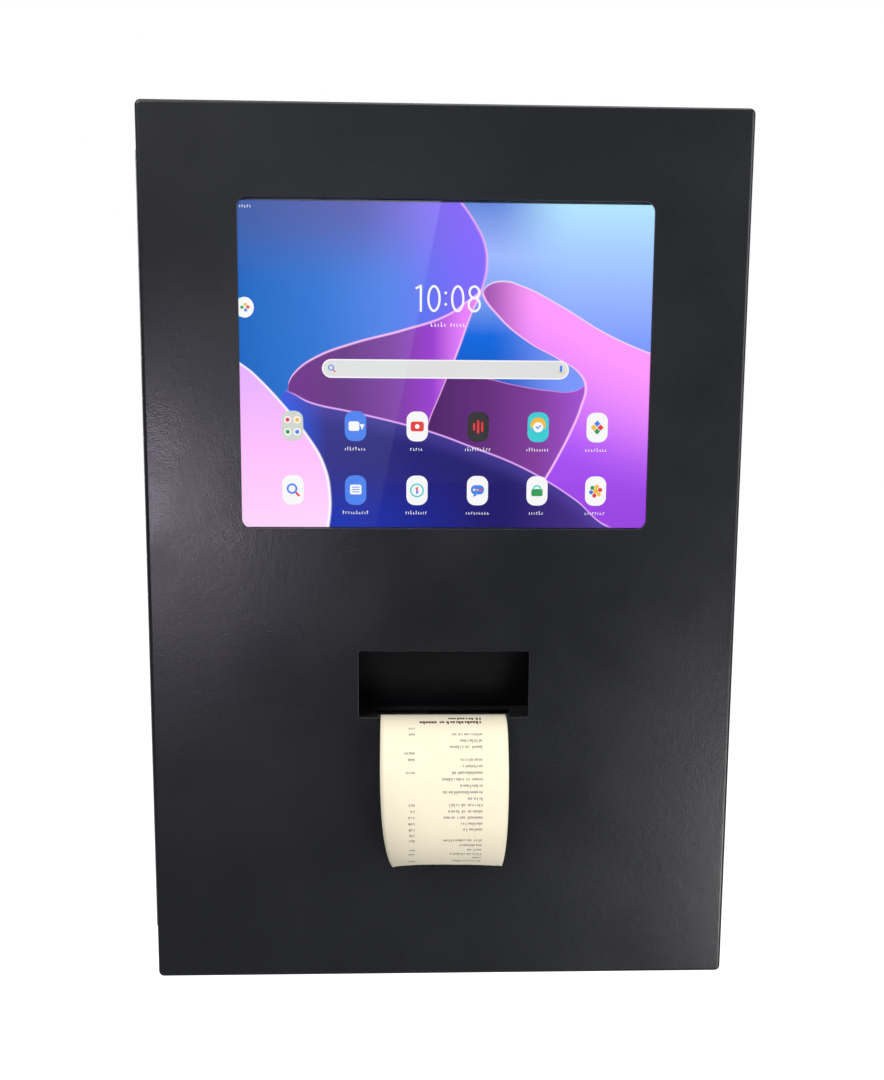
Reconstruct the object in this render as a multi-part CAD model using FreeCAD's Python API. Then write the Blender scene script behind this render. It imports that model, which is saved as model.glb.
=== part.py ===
import FreeCAD, Part
import math
import os

# Wall kiosk: folded steel cabinet with a hinged front, a tablet behind a window
# and a receipt printer behind a small opening. Millimetres, Z up, X to the right
# as seen from the front, the front faces -Y. Origin: centre of the wall holes on
# the back face.

V = FreeCAD.Vector
X_AXIS = V(1, 0, 0)
Y_AXIS = V(0, 1, 0)
Z_AXIS = V(0, 0, 1)

# ---- cabinet ----
WIDTH = 370.0
HEIGHT = 550.0
DEPTH = 120.0
SHEET = 1.5
CORNER_R = 3.5
BEND_R = 2.5
DOOR_DEPTH = 22.0
SEAM = 1.5
LIP = 12.0
SEAL_WIDTH = 4.0
WALL_HOLE_SPACING_X = 300.0
WALL_HOLE_SPACING_Z = 490.0
WALL_HOLE_R = 3.5
VENT_ROWS = 10
VENT_PITCH = 9.0
VENT_LENGTH = 40.0
VENT_HEIGHT = 3.0
VENT_BOTTOM = 120.0
CUT_EDGE_R = 0.4

# ---- window and tablet ----
WINDOW_WIDTH = 251.5
WINDOW_HEIGHT = 199.0
WINDOW_R = 6.0
WINDOW_CENTRE_Z = 120.0
TABLET_WIDTH = 280.0
TABLET_HEIGHT = 215.0
TABLET_DEPTH = 6.4
TABLET_R = 9.0
TABLET_DROP = -0.4
TABLET_WALL = 1.2
GLASS_DEPTH = 0.8
DISPLAY_BORDER_X = 8.6
DISPLAY_BORDER_Z = 8.95
DISPLAY_DEPTH = 2.0
BOARD_INSET = 12.0
TABLET_BOARD_WIDTH = 48.0
BATTERY_GAP = 10.0
CELL_WIDTH = 68.0
CELL_GAP = 4.0
PAD_INSET = 15.0
BATTERY_DEPTH = 2.0
GASKET_DEPTH = 1.3
GASKET_GAP = 0.2
GASKET_WIDTH = 4.0
PAD_DEPTH = 0.6
PLATE_MARGIN = 13.0
POST_AF = 8.0
POST_INSET = 7.0
POST_RISE = 100.0
CLIP_WIDTH = 20.0
CLIP_RISE = 70.0
CLIP_SHEET = 1.4

# ---- receipt opening ----
MOUTH_WIDTH = 108.0
MOUTH_HEIGHT = 43.0
MOUTH_R = 1.0
MOUTH_SILL_Z = -100.7
POCKET_SHEET = 1.0
POCKET_SIDE_GAP = 4.0
POCKET_FLOOR_DEPTH = 26.0
POCKET_TOP_DEPTH = 12.0
POCKET_RIM = 3.0
SLOT_WIDTH = 86.0
SLOT_FRONT = 2.7
SLOT_DEPTH = 17.8
PAPER_WIDTH = 80.0
RECEIPT_THICKNESS = 0.25
RECEIPT_REST = 2.0
RECEIPT_LIFT = 0.5
RECEIPT_RISE_TURN = 38.0
RECEIPT_SWING_R = 20.0
RECEIPT_SWING_TURN = 60.0
RECEIPT_DROP_R = 95.0
RECEIPT_CURL_R = 50.0
RECEIPT_CURL_TURN = 46.0

# ---- printer ----
GEAR_FRONT_GAP = 0.7
WEB_THICKNESS = 0.3
PLATEN_R = 5.9
PLATEN_Z = -135.0
PLATEN_LENGTH = 83.0
PLATEN_SHAFT_R = 2.5
GEAR_MODULE = 0.7
PLATEN_TEETH = 20
IDLER_TEETH = 36
PINION_TEETH = 12
GEAR_WIDTH = 5.0
IDLER_ANGLE = -20.0
PINION_ANGLE = -25.0
FEED_MOTOR_R = 12.5
FEED_MOTOR_LENGTH = 21.0
FRAME_HALF_WIDTH = 46.0
FRAME_SHEET = 1.5
FRAME_FRONT_Y = -116.0
FRAME_BACK_Y = -58.0
FRAME_TOP_Z = -113.0
FRAME_BOTTOM_Z = -182.0
HEAD_PIVOT_Y = -97.0
HEAD_PIVOT_Z = -158.0
HEAD_SHAFT_R = 2.0
HEAD_TOP_Z = -126.0
LEVER_Y = -91.0
LEVER_Z = -119.8
LEVER_LENGTH = 28.0
CUTTER_TOP_Z = -105.0
BLADE_THICKNESS = 1.2
BLADE_TRAVEL = 9.0
BLADE_HALF_WIDTH = 45.0
RACK_MODULE = 1.0
RACK_TEETH = 10
ROLL_R = 39.7
CORE_R = 12.9
CORE_BORE_R = 10.03
SPINDLE_R = 9.95
ROLL_Z = -228.0
RUNNING_GAP = 0.05
SIDE_GAP = 0.3

# ---- lock ----
LOCK_Y = -72.0
LOCK_Z = 0.0
LOCK_BARREL_R = 9.2
LOCK_PLUG_R = 6.0
CAM_LENGTH = 26.0
CAM_WIDTH = 12.0
CAM_SHEET = 2.0

# ---- hinge ----
KNUCKLE_R = 2.5
HINGE_PIN_R = 1.25
KNUCKLE_COUNT = 20
HINGE_LENGTH = 500.0
LEAF_SHEET = 1.0
LEAF_WIDTH = 12.0

# ---- power ----
SUPPLY_WIDTH = 98.0
SUPPLY_HEIGHT = 160.0
SUPPLY_DEPTH = 42.0
SUPPLY_CENTRE_X = -121.0
SUPPLY_BOTTOM_Z = -225.0
INLET_X = -120.0
INLET_Y = -48.0
INLET_WIDTH = 50.0
INLET_DEPTH = 28.0
INLET_RISE = 30.0
FLANGE_SHEET = 2.0
GROMMET_X = 110.0
GROMMET_Y = -40.0
GROMMET_HOLE_R = 11.0
GROMMET_BORE_R = 8.0
ROCKER_TILT = 9.0

HALF_W = WIDTH / 2
HALF_H = HEIGHT / 2
FRONT_Y = -DEPTH
INNER_FRONT_Y = FRONT_Y + SHEET
DOOR_EDGE_Y = FRONT_Y + DOOR_DEPTH
BOX_FRONT_Y = DOOR_EDGE_Y + SEAM
WALL_Y = -SHEET
HINGE_X = -HALF_W - KNUCKLE_R - 0.2
HINGE_Y = DOOR_EDGE_Y + SEAM / 2
TABLET_FRONT_Y = INNER_FRONT_Y + GASKET_DEPTH + GASKET_GAP
TABLET_BACK_Y = TABLET_FRONT_Y + TABLET_DEPTH
TABLET_Z = WINDOW_CENTRE_Z + TABLET_DROP
PLATE_FRONT_Y = TABLET_BACK_Y + PAD_DEPTH
PLATE_BACK_Y = PLATE_FRONT_Y + SHEET
DISPLAY_WIDTH = TABLET_WIDTH - 2 * DISPLAY_BORDER_X
DISPLAY_HEIGHT = TABLET_HEIGHT - 2 * DISPLAY_BORDER_Z
PLATEN_GEAR_TIP_R = GEAR_MODULE * (PLATEN_TEETH / 2 + 1)
PLATEN_Y = INNER_FRONT_Y + GEAR_FRONT_GAP + PLATEN_GEAR_TIP_R
PAPER_Y = PLATEN_Y + PLATEN_R + RUNNING_GAP + WEB_THICKNESS / 2
ROLL_Y = PAPER_Y + WEB_THICKNESS / 2 + RUNNING_GAP + ROLL_R


# ---------------------------------------------------------------- helpers
def block(x0, x1, y0, y1, z0, z1):
    return Part.makeBox(x1 - x0, y1 - y0, z1 - z0, V(x0, y0, z0))


def rod(radius, start, end):
    axis = end - start
    return Part.makeCylinder(radius, axis.Length, start, axis)


def rod_x(radius, x0, x1, y, z):
    return rod(radius, V(x0, y, z), V(x1, y, z))


def rod_y(radius, x, y0, y1, z):
    return rod(radius, V(x, y0, z), V(x, y1, z))


def rod_z(radius, x, y, z0, z1):
    return rod(radius, V(x, y, z0), V(x, y, z1))


def fillet_where(shape, radius, test):
    edges = [edge for edge in shape.Edges if test(edge)]
    return shape.makeFillet(radius, edges)


def along(edge, axis):
    if edge.Curve.TypeId != "Part::GeomLine":
        return False
    return abs(abs(edge.Curve.Direction.dot(axis)) - 1) < 1e-6


def rounded(x0, x1, y0, y1, z0, z1, radius, axis):
    """A block whose four edges along one axis are rounded."""
    return fillet_where(block(x0, x1, y0, y1, z0, z1), radius, lambda edge: along(edge, axis))


def on_plane_y(edge, y):
    box = edge.BoundBox
    return abs(box.YMin - y) < 1e-6 and abs(box.YMax - y) < 1e-6


def soft_cut_edges(shape, y, x_limit, z_low, z_high, radius):
    """Round the edges of a cut-out that lie in the plane y within the given area."""
    def inside(edge):
        box = edge.BoundBox
        in_x = box.XMin > -x_limit and box.XMax < x_limit
        in_z = box.ZMin > z_low and box.ZMax < z_high
        return on_plane_y(edge, y) and in_x and in_z
    return fillet_where(shape, radius, inside)


def prism_x(points_yz, x0, x1):
    corners = [V(x0, y, z) for y, z in points_yz]
    wire = Part.makePolygon(corners + corners[:1])
    return Part.Face(wire).extrude(V(x1 - x0, 0, 0))


def hexagon_y(across_flats, x, y0, y1, z):
    corner_r = across_flats / math.sqrt(3)
    corners = []
    for step in range(6):
        angle = math.radians(60 * step)
        corners.append(V(x + corner_r * math.cos(angle), y0, z + corner_r * math.sin(angle)))
    wire = Part.makePolygon(corners + corners[:1])
    return Part.Face(wire).extrude(V(0, y1 - y0, 0))


def mirrored_x(shape):
    return shape.mirror(V(0, 0, 0), X_AXIS)


def both_sides(shape):
    return [shape, mirrored_x(shape)]


def fused(shapes):
    result = shapes[0].fuse(shapes[1:]) if len(shapes) > 1 else shapes[0]
    return result.removeSplitter()


def group(shapes):
    return Part.makeCompound(shapes)


def pan_head_y(x, y_seat, z, head_r, head_depth, shank_r, shank_length):
    """A screw whose head stands towards -Y from the seat and whose shank runs to +Y."""
    head = rod_y(head_r, x, y_seat - head_depth, y_seat, z)
    head = fillet_where(head, head_depth * 0.45, lambda edge: on_plane_y(edge, y_seat - head_depth))
    slot_w = head_r * 0.28
    cross = block(x - head_r * 0.6, x + head_r * 0.6, y_seat - head_depth, y_seat - head_depth * 0.4,
                  z - slot_w / 2, z + slot_w / 2)
    cross_2 = block(x - slot_w / 2, x + slot_w / 2, y_seat - head_depth, y_seat - head_depth * 0.4,
                    z - head_r * 0.6, z + head_r * 0.6)
    head = head.cut(cross.fuse(cross_2))
    return fused([head, rod_y(shank_r, x, y_seat, y_seat + shank_length, z)])


def arc_through(centre, radius, start_deg, end_deg):
    """An arc in the YZ plane; angles turn from +Y towards +Z."""
    angles = [start_deg, (start_deg + end_deg) / 2, end_deg]
    points = []
    for angle in angles:
        turn = math.radians(angle)
        points.append(V(0, centre.y + radius * math.cos(turn), centre.z + radius * math.sin(turn)))
    return Part.Arc(*points).toShape()


def cable(points, radius):
    """A tube along straight runs that are joined by tangent arcs."""
    points = [V(*point) for point in points]
    edges = []
    start = points[0]
    for before, corner, after in zip(points, points[1:], points[2:]):
        run_in = (before - corner)
        run_out = (after - corner)
        half_turn = (math.pi - run_in.getAngle(run_out)) / 2
        trim = 0.45 * min(run_in.Length, run_out.Length)
        bend_r = trim / math.tan(half_turn)
        into = corner + run_in.normalize() * trim
        out = corner + run_out.normalize() * trim
        bisector = (into + out) * 0.5 - corner
        to_centre = bend_r / math.cos(half_turn)
        middle = corner + bisector.normalize() * (to_centre - bend_r)
        edges.append(Part.LineSegment(start, into).toShape())
        edges.append(Part.Arc(into, middle, out).toShape())
        start = out
        print("cable bend radius", round(bend_r, 1))
    edges.append(Part.LineSegment(start, points[-1]).toShape())
    path = Part.Wire(edges)
    circle = Part.makeCircle(radius, points[0], points[1] - points[0])
    tube = path.makePipeShell([Part.Wire([circle])], True, False)
    print("cable volume ratio", round(tube.Volume / (math.pi * radius ** 2 * path.Length), 4))
    return tube


def involute_gear(teeth, module, width, x0, y, z, tooth_angle, axis, bore_r):
    """A spur gear about X or Z, with one tooth centred on tooth_angle (degrees)."""
    pitch_r = module * teeth / 2
    base_r = pitch_r * math.cos(math.radians(20))
    tip_r = pitch_r + module
    root_r = pitch_r - 1.25 * module
    backlash = 0.06 * module
    half_pitch_angle = (math.pi * module / 2 - backlash) / 2 / pitch_r
    involute_at_pitch = math.tan(math.radians(20)) - math.radians(20)
    flank_start = max(base_r, root_r)
    steps = 5
    flank = []
    for step in range(steps + 1):
        radius = flank_start + (tip_r - flank_start) * step / steps
        pressure = math.acos(min(1.0, base_r / radius))
        half_angle = half_pitch_angle + involute_at_pitch - (math.tan(pressure) - pressure)
        flank.append((radius, half_angle))
    outline = []
    for tooth in range(teeth):
        middle = math.radians(tooth_angle) + 2 * math.pi * tooth / teeth
        if root_r < flank_start:
            outline.append((root_r, middle - flank[0][1]))
        outline += [(radius, middle - angle) for radius, angle in flank]
        outline += [(radius, middle + angle) for radius, angle in reversed(flank)]
        if root_r < flank_start:
            outline.append((root_r, middle + flank[0][1]))
    if axis == "x":
        corners = [V(x0, y + r * math.cos(a), z + r * math.sin(a)) for r, a in outline]
        wheel = Part.Face(Part.makePolygon(corners + corners[:1])).extrude(V(width, 0, 0))
        return wheel.cut(rod_x(bore_r, x0 - 1, x0 + width + 1, y, z))
    corners = [V(x0 + r * math.cos(a), y + r * math.sin(a), z) for r, a in outline]
    wheel = Part.Face(Part.makePolygon(corners + corners[:1])).extrude(V(0, 0, width))
    return wheel.cut(rod_z(bore_r, x0, y, z - 1, z + width + 1))


# ---------------------------------------------------------------- cabinet
def make_back_box():
    shell = rounded(-HALF_W, HALF_W, BOX_FRONT_Y, 0, -HALF_H, HALF_H, CORNER_R, Y_AXIS)
    shell = fillet_where(shell, BEND_R, lambda edge: on_plane_y(edge, 0))
    inner_w = HALF_W - SHEET
    inner_h = HALF_H - SHEET
    inner_r = CORNER_R - SHEET
    hollow = rounded(-inner_w, inner_w, BOX_FRONT_Y + SHEET, WALL_Y, -inner_h, inner_h, inner_r, Y_AXIS)
    hollow = fillet_where(hollow, BEND_R - SHEET, lambda edge: on_plane_y(edge, WALL_Y))
    mouth = rounded(-inner_w + LIP, inner_w - LIP, BOX_FRONT_Y - 1, BOX_FRONT_Y + SHEET + 1,
                    -inner_h + LIP, inner_h - LIP, 3.0, Y_AXIS)
    shell = shell.cut(hollow)
    cuts = [mouth]
    for side_x in (-1, 1):
        for side_z in (-1, 1):
            hole_x = side_x * WALL_HOLE_SPACING_X / 2
            hole_z = side_z * WALL_HOLE_SPACING_Z / 2
            cuts.append(rod_y(WALL_HOLE_R, hole_x, WALL_Y - 1, 1, hole_z))
    vent_y0 = (BOX_FRONT_Y - VENT_LENGTH) / 2
    for row in range(VENT_ROWS):
        low = VENT_BOTTOM + row * VENT_PITCH
        slot = block(-HALF_W - 1, HALF_W + 1, vent_y0, vent_y0 + VENT_LENGTH, low, low + VENT_HEIGHT)
        cuts.append(fillet_where(slot, VENT_HEIGHT * 0.45, lambda edge: along(edge, X_AXIS)))
    cuts.append(rod_x(LOCK_BARREL_R, HALF_W - SHEET - 1, HALF_W + 1, LOCK_Y, LOCK_Z))
    cuts.append(rod_z(GROMMET_HOLE_R, GROMMET_X, GROMMET_Y, -HALF_H - 1, -HALF_H + SHEET + 1))
    cuts.append(block(INLET_X - INLET_WIDTH / 2 + 2, INLET_X + INLET_WIDTH / 2 - 2,
                      INLET_Y - INLET_DEPTH / 2 + 2, INLET_Y + INLET_DEPTH / 2 - 2,
                      -HALF_H - 1, -HALF_H + SHEET + 1))
    return shell.cut(cuts)


def make_door_seal():
    outer = rounded(-HALF_W + 0.5, HALF_W - 0.5, DOOR_EDGE_Y + 0.1, BOX_FRONT_Y,
                    -HALF_H + 0.5, HALF_H - 0.5, CORNER_R - 0.5, Y_AXIS)
    inset = 0.5 + SEAL_WIDTH
    inner = rounded(-HALF_W + inset, HALF_W - inset, DOOR_EDGE_Y - 1, BOX_FRONT_Y + 1,
                    -HALF_H + inset, HALF_H - inset, CORNER_R, Y_AXIS)
    return outer.cut(inner)


def make_front_panel():
    pan = rounded(-HALF_W, HALF_W, FRONT_Y, DOOR_EDGE_Y, -HALF_H, HALF_H, CORNER_R, Y_AXIS)
    pan = fillet_where(pan, BEND_R, lambda edge: on_plane_y(edge, FRONT_Y))
    inner_w = HALF_W - SHEET
    inner_h = HALF_H - SHEET
    hollow = rounded(-inner_w, inner_w, INNER_FRONT_Y, DOOR_EDGE_Y + 1, -inner_h, inner_h,
                     CORNER_R - SHEET, Y_AXIS)
    hollow = fillet_where(hollow, BEND_R - SHEET, lambda edge: on_plane_y(edge, INNER_FRONT_Y))
    pan = pan.cut(hollow)
    window = rounded(-WINDOW_WIDTH / 2, WINDOW_WIDTH / 2, FRONT_Y - 1, INNER_FRONT_Y + 1,
                     WINDOW_CENTRE_Z - WINDOW_HEIGHT / 2, WINDOW_CENTRE_Z + WINDOW_HEIGHT / 2,
                     WINDOW_R, Y_AXIS)
    mouth = rounded(-MOUTH_WIDTH / 2, MOUTH_WIDTH / 2, FRONT_Y - 1, INNER_FRONT_Y + 1,
                    MOUTH_SILL_Z, MOUTH_SILL_Z + MOUTH_HEIGHT, MOUTH_R, Y_AXIS)
    pan = pan.cut([window, mouth])
    return soft_cut_edges(pan, FRONT_Y, HALF_W - 20, -HALF_H + 20, HALF_H - 20, CUT_EDGE_R)


def make_window_gasket():
    back_y = INNER_FRONT_Y + GASKET_DEPTH
    half_w = WINDOW_WIDTH / 2 + 2
    half_h = WINDOW_HEIGHT / 2 + 1.5
    outer = rounded(-half_w - GASKET_WIDTH, half_w + GASKET_WIDTH, INNER_FRONT_Y, back_y,
                    WINDOW_CENTRE_Z - half_h - GASKET_WIDTH, WINDOW_CENTRE_Z + half_h + GASKET_WIDTH,
                    WINDOW_R + GASKET_WIDTH, Y_AXIS)
    inner = rounded(-half_w, half_w, INNER_FRONT_Y - 1, back_y + 1,
                    WINDOW_CENTRE_Z - half_h, WINDOW_CENTRE_Z + half_h, WINDOW_R, Y_AXIS)
    return outer.cut(inner)


def make_receipt_pocket():
    """The folded hood behind the opening: floor with a slot, sloping back, top and sides."""
    t = POCKET_SHEET
    floor_z = MOUTH_SILL_Z - 0.2
    top_z = MOUTH_SILL_Z + MOUTH_HEIGHT + POCKET_RIM
    front = INNER_FRONT_Y
    back_low = front + POCKET_FLOOR_DEPTH
    back_high = front + POCKET_TOP_DEPTH
    half_w = MOUTH_WIDTH / 2 + POCKET_SIDE_GAP
    outside = prism_x([(front, floor_z - t), (back_low + t, floor_z - t), (back_high + t, top_z + t),
                       (front, top_z + t)], -half_w - t, half_w + t)
    inside = prism_x([(front - 1, floor_z), (back_low, floor_z), (back_high, top_z),
                      (front - 1, top_z)], -half_w, half_w)
    slot_y0 = FRONT_Y + SLOT_FRONT
    slot = block(-SLOT_WIDTH / 2, SLOT_WIDTH / 2, slot_y0, slot_y0 + SLOT_DEPTH,
                 floor_z - t - 1, floor_z + 0.5)
    rim_w = half_w + 8
    rim = block(-rim_w, rim_w, front, front + t, floor_z - t, top_z + 8)
    hole = block(-half_w, half_w, front - 1, front + t + 1, floor_z, top_z)
    return fused([rim.cut(hole), outside.cut([inside, slot])])


def make_receipt():
    """The receipt: out of the slot, over the sill, down in front and curling in."""
    half = RECEIPT_THICKNESS / 2
    apex_y = FRONT_Y + RECEIPT_REST
    apex_z = MOUTH_SILL_Z + RECEIPT_LIFT
    swing_turn = math.radians(RECEIPT_SWING_TURN)
    swing = V(0, apex_y, apex_z - RECEIPT_SWING_R)
    joint_y = apex_y - RECEIPT_SWING_R * math.sin(swing_turn)
    joint_z = swing.z + RECEIPT_SWING_R * math.cos(swing_turn)
    drop = V(0, joint_y + RECEIPT_DROP_R * math.sin(swing_turn),
             joint_z - RECEIPT_DROP_R * math.cos(swing_turn))
    curl = V(0, drop.y - RECEIPT_DROP_R + RECEIPT_CURL_R, drop.z)
    turn = RECEIPT_SWING_TURN
    sides = []
    for side in (-half, half):
        sides.append([
            arc_through(swing, RECEIPT_SWING_R + side, 90 - RECEIPT_RISE_TURN, 90 + turn),
            arc_through(drop, RECEIPT_DROP_R + side, 90 + turn, 180),
            arc_through(curl, RECEIPT_CURL_R + side, 180, 180 + RECEIPT_CURL_TURN),
        ])
    starts = [edges[0].Vertexes[0].Point for edges in sides]
    ends = [edges[-1].Vertexes[-1].Point for edges in sides]
    outline = sides[0] + sides[1]
    outline += [Part.LineSegment(*starts).toShape(), Part.LineSegment(*ends).toShape()]
    wire = Part.Wire(Part.__sortEdges__(outline))
    strip = Part.Face(wire).extrude(V(PAPER_WIDTH, 0, 0))
    strip.translate(V(-PAPER_WIDTH / 2, 0, 0))
    return strip


def make_lock_keeper():
    inner_x = HALF_W - SHEET
    cam_inner_x = HALF_W - 25
    strip_x = cam_inner_x + CAM_SHEET + 4
    low = LOCK_Z + 12
    high = LOCK_Z + CAM_LENGTH - 2
    tab_y = LOCK_Y + CAM_WIDTH / 2 + 1
    foot = block(strip_x - 14, strip_x + SHEET, INNER_FRONT_Y, INNER_FRONT_Y + SHEET, low, high)
    arm = block(strip_x, strip_x + SHEET, INNER_FRONT_Y, tab_y + 2.5, low, high)
    tab = block(cam_inner_x - 2, strip_x + SHEET, tab_y, tab_y + 2.5, low, high)
    assert strip_x + SHEET < inner_x
    return fused([foot, arm, tab])


# ---------------------------------------------------------------- hinge
def knuckle(index):
    pitch = HINGE_LENGTH / KNUCKLE_COUNT
    z0 = -HINGE_LENGTH / 2 + index * pitch
    gap = 0.15
    ring = rod_z(KNUCKLE_R, HINGE_X, HINGE_Y, z0 + gap, z0 + pitch - gap)
    return ring, z0 + gap, z0 + pitch - gap


def make_leaf(first, towards_back):
    y_near = 0.8 if towards_back else -0.8
    y_far = LEAF_WIDTH if towards_back else -LEAF_WIDTH
    low_y, high_y = sorted((HINGE_Y + y_near, HINGE_Y + y_far))
    leaf = block(-HALF_W - LEAF_SHEET, -HALF_W, low_y, high_y, -HINGE_LENGTH / 2, HINGE_LENGTH / 2)
    pieces = [leaf]
    for index in range(first, KNUCKLE_COUNT, 2):
        ring, z0, z1 = knuckle(index)
        pieces.append(ring)
        bridge_y = sorted((HINGE_Y, HINGE_Y + (2.2 if towards_back else -2.2)))
        pieces.append(block(HINGE_X, -HALF_W, bridge_y[0], bridge_y[1], z0, z1))
    whole = fused(pieces)
    pin_hole = HINGE_PIN_R + (0 if towards_back else RUNNING_GAP)
    whole = whole.cut(rod_z(pin_hole, HINGE_X, HINGE_Y, -HALF_H, HALF_H))
    clearances = []
    for index in range(1 - first, KNUCKLE_COUNT, 2):
        ring, z0, z1 = knuckle(index)
        clearances.append(rod_z(KNUCKLE_R + 0.2, HINGE_X, HINGE_Y, z0 - 0.15, z1 + 0.15))
    return whole.cut(clearances)


def make_rivets(towards_back):
    side = 1 if towards_back else -1
    rivets = []
    for step in range(5):
        z = -HINGE_LENGTH / 2 + 37.5 + step * (HINGE_LENGTH - 75) / 4
        head = rod_x(2.2, -HALF_W - LEAF_SHEET - 0.6, -HALF_W - LEAF_SHEET, HINGE_Y + side * 8, z)
        rivets.append(head)
    return group(rivets)


# ---------------------------------------------------------------- lock
def make_lock_barrel():
    outside = HALF_W + 2.2
    inside = HALF_W - 22
    flange = rod_x(13.0, HALF_W, outside, LOCK_Y, LOCK_Z)
    flange = fillet_where(flange, 0.8, lambda edge: abs(edge.BoundBox.XMin - outside) < 1e-6)
    body = rod_x(LOCK_BARREL_R, inside, HALF_W, LOCK_Y, LOCK_Z)
    bore = rod_x(LOCK_PLUG_R + RUNNING_GAP, inside - 1, outside + 1, LOCK_Y, LOCK_Z)
    return fused([flange, body]).cut(bore)


def make_lock_nut():
    nut = hexagon_y(24.0, 0, 0, 4.0, 0)
    nut.rotate(V(0, 0, 0), Z_AXIS, 90)
    nut.translate(V(HALF_W - SHEET, LOCK_Y, LOCK_Z))
    nut = nut.cut(rod_x(LOCK_BARREL_R, 0, HALF_W, LOCK_Y, LOCK_Z))
    return nut


def make_lock_plug():
    plug = rod_x(LOCK_PLUG_R, HALF_W - 25, HALF_W + 2.0, LOCK_Y, LOCK_Z)
    keyway = block(HALF_W - 12, HALF_W + 3, LOCK_Y - 0.8, LOCK_Y + 0.8, LOCK_Z - 3.5, LOCK_Z + 3.5)
    return plug.cut(keyway)


def make_lock_cam():
    x1 = HALF_W - 25
    hub = rod_x(8.0, x1 - CAM_SHEET, x1, LOCK_Y, LOCK_Z)
    arm = block(x1 - CAM_SHEET, x1, LOCK_Y - CAM_LENGTH, LOCK_Y,
                LOCK_Z - CAM_WIDTH / 2, LOCK_Z + CAM_WIDTH / 2)
    arm = fillet_where(arm, 3.0, lambda edge: along(edge, X_AXIS) and edge.BoundBox.YMin < LOCK_Y - 10)
    screw = rod_x(3.5, x1 - CAM_SHEET - 2.5, x1 - CAM_SHEET, LOCK_Y, LOCK_Z)
    return fused([hub, arm, screw])


# ---------------------------------------------------------------- tablet
def tablet_slab(inset, y0, y1, radius):
    half_w = TABLET_WIDTH / 2 - inset
    half_h = TABLET_HEIGHT / 2 - inset
    return rounded(-half_w, half_w, y0, y1, TABLET_Z - half_h, TABLET_Z + half_h, radius, Y_AXIS)


def button_place(name):
    """Centre x and length of an edge button on the tablet's top edge."""
    left = -TABLET_WIDTH / 2
    places = {"power": (left + 24.0, 11.0), "volume": (left + 47.0, 22.0)}
    return places[name]


def make_tablet_shell():
    front = TABLET_FRONT_Y + GLASS_DEPTH
    shell = tablet_slab(0, front, TABLET_BACK_Y, TABLET_R)
    shell = fillet_where(shell, 2.0, lambda edge: on_plane_y(edge, TABLET_BACK_Y))
    hollow = tablet_slab(TABLET_WALL, front - 1, TABLET_BACK_Y - 1.0, TABLET_R - TABLET_WALL)
    cuts = [hollow]
    top = TABLET_Z + TABLET_HEIGHT / 2
    for name in ("power", "volume"):
        x, length = button_place(name)
        cuts.append(block(x - length / 2 - 0.15, x + length / 2 + 0.15, front + 2.0, front + 3.9,
                          top - TABLET_WALL - 1, top + 1))
    port_x = TABLET_WIDTH / 2
    port = block(port_x - 3, port_x + 1, front + 1.4, front + 4.4, TABLET_Z - 4.6, TABLET_Z + 4.6)
    cuts.append(port)
    return shell.cut(cuts)


def make_tablet_glass():
    glass = tablet_slab(0.4, TABLET_FRONT_Y, TABLET_FRONT_Y + GLASS_DEPTH, TABLET_R - 0.4)
    return fillet_where(glass, 0.25, lambda edge: on_plane_y(edge, TABLET_FRONT_Y))


def make_tablet_display():
    y0 = TABLET_FRONT_Y + GLASS_DEPTH
    return block(-DISPLAY_WIDTH / 2, DISPLAY_WIDTH / 2, y0, y0 + DISPLAY_DEPTH,
                 TABLET_Z - DISPLAY_HEIGHT / 2, TABLET_Z + DISPLAY_HEIGHT / 2)


def make_tablet_battery():
    y0 = TABLET_FRONT_Y + GLASS_DEPTH + DISPLAY_DEPTH + 0.1
    last_x = TABLET_WIDTH / 2 - BOARD_INSET - TABLET_BOARD_WIDTH - BATTERY_GAP - CELL_WIDTH
    cells = []
    for x0 in (last_x - CELL_WIDTH - CELL_GAP, last_x):
        cells.append(rounded(x0, x0 + CELL_WIDTH, y0, y0 + BATTERY_DEPTH, TABLET_Z - 80, TABLET_Z + 60,
                             3.0, Y_AXIS))
    return group(cells)


def make_tablet_board():
    y0 = TABLET_FRONT_Y + GLASS_DEPTH + DISPLAY_DEPTH + 0.1
    x1 = TABLET_WIDTH / 2 - BOARD_INSET
    x0 = x1 - TABLET_BOARD_WIDTH
    board = block(x0, x1, y0, y0 + 0.8, TABLET_Z - 60, TABLET_Z + 60)
    chips = [block(x0 + 8, x0 + 24, y0 + 0.8, y0 + 1.8, TABLET_Z + 10, TABLET_Z + 26),
             block(x0 + 8, x0 + 20, y0 + 0.8, y0 + 1.6, TABLET_Z - 20, TABLET_Z - 8),
             block(x0 + 30, x0 + 42, y0 + 0.8, y0 + 1.8, TABLET_Z + 30, TABLET_Z + 44)]
    return fused([board] + chips)


BUTTON_FRONT_GAP = 2.15
BUTTON_DEPTH = 1.6
BUTTON_PROUD = 0.6


def make_tablet_button(name):
    x, length = button_place(name)
    front = TABLET_FRONT_Y + GLASS_DEPTH + BUTTON_FRONT_GAP
    edge_z = TABLET_Z + TABLET_HEIGHT / 2
    top = edge_z + BUTTON_PROUD
    bar = block(x - length / 2, x + length / 2, front, front + BUTTON_DEPTH, edge_z - TABLET_WALL, top)
    return fillet_where(bar, BUTTON_PROUD / 2, lambda edge: abs(edge.BoundBox.ZMin - top) < 1e-6)


TONGUE_REACH = 2.8
TONGUE_HALF_WIDTH = 4.1
TONGUE_HALF_DEPTH = 1.2
GRIP_LENGTH = 13.5
GRIP_HALF_WIDTH = 5.5
GRIP_HALF_DEPTH = 2.6
GRIP_R = 2.0
SLEEVE_R = 1.9
SLEEVE_LENGTH = 3.0


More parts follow.
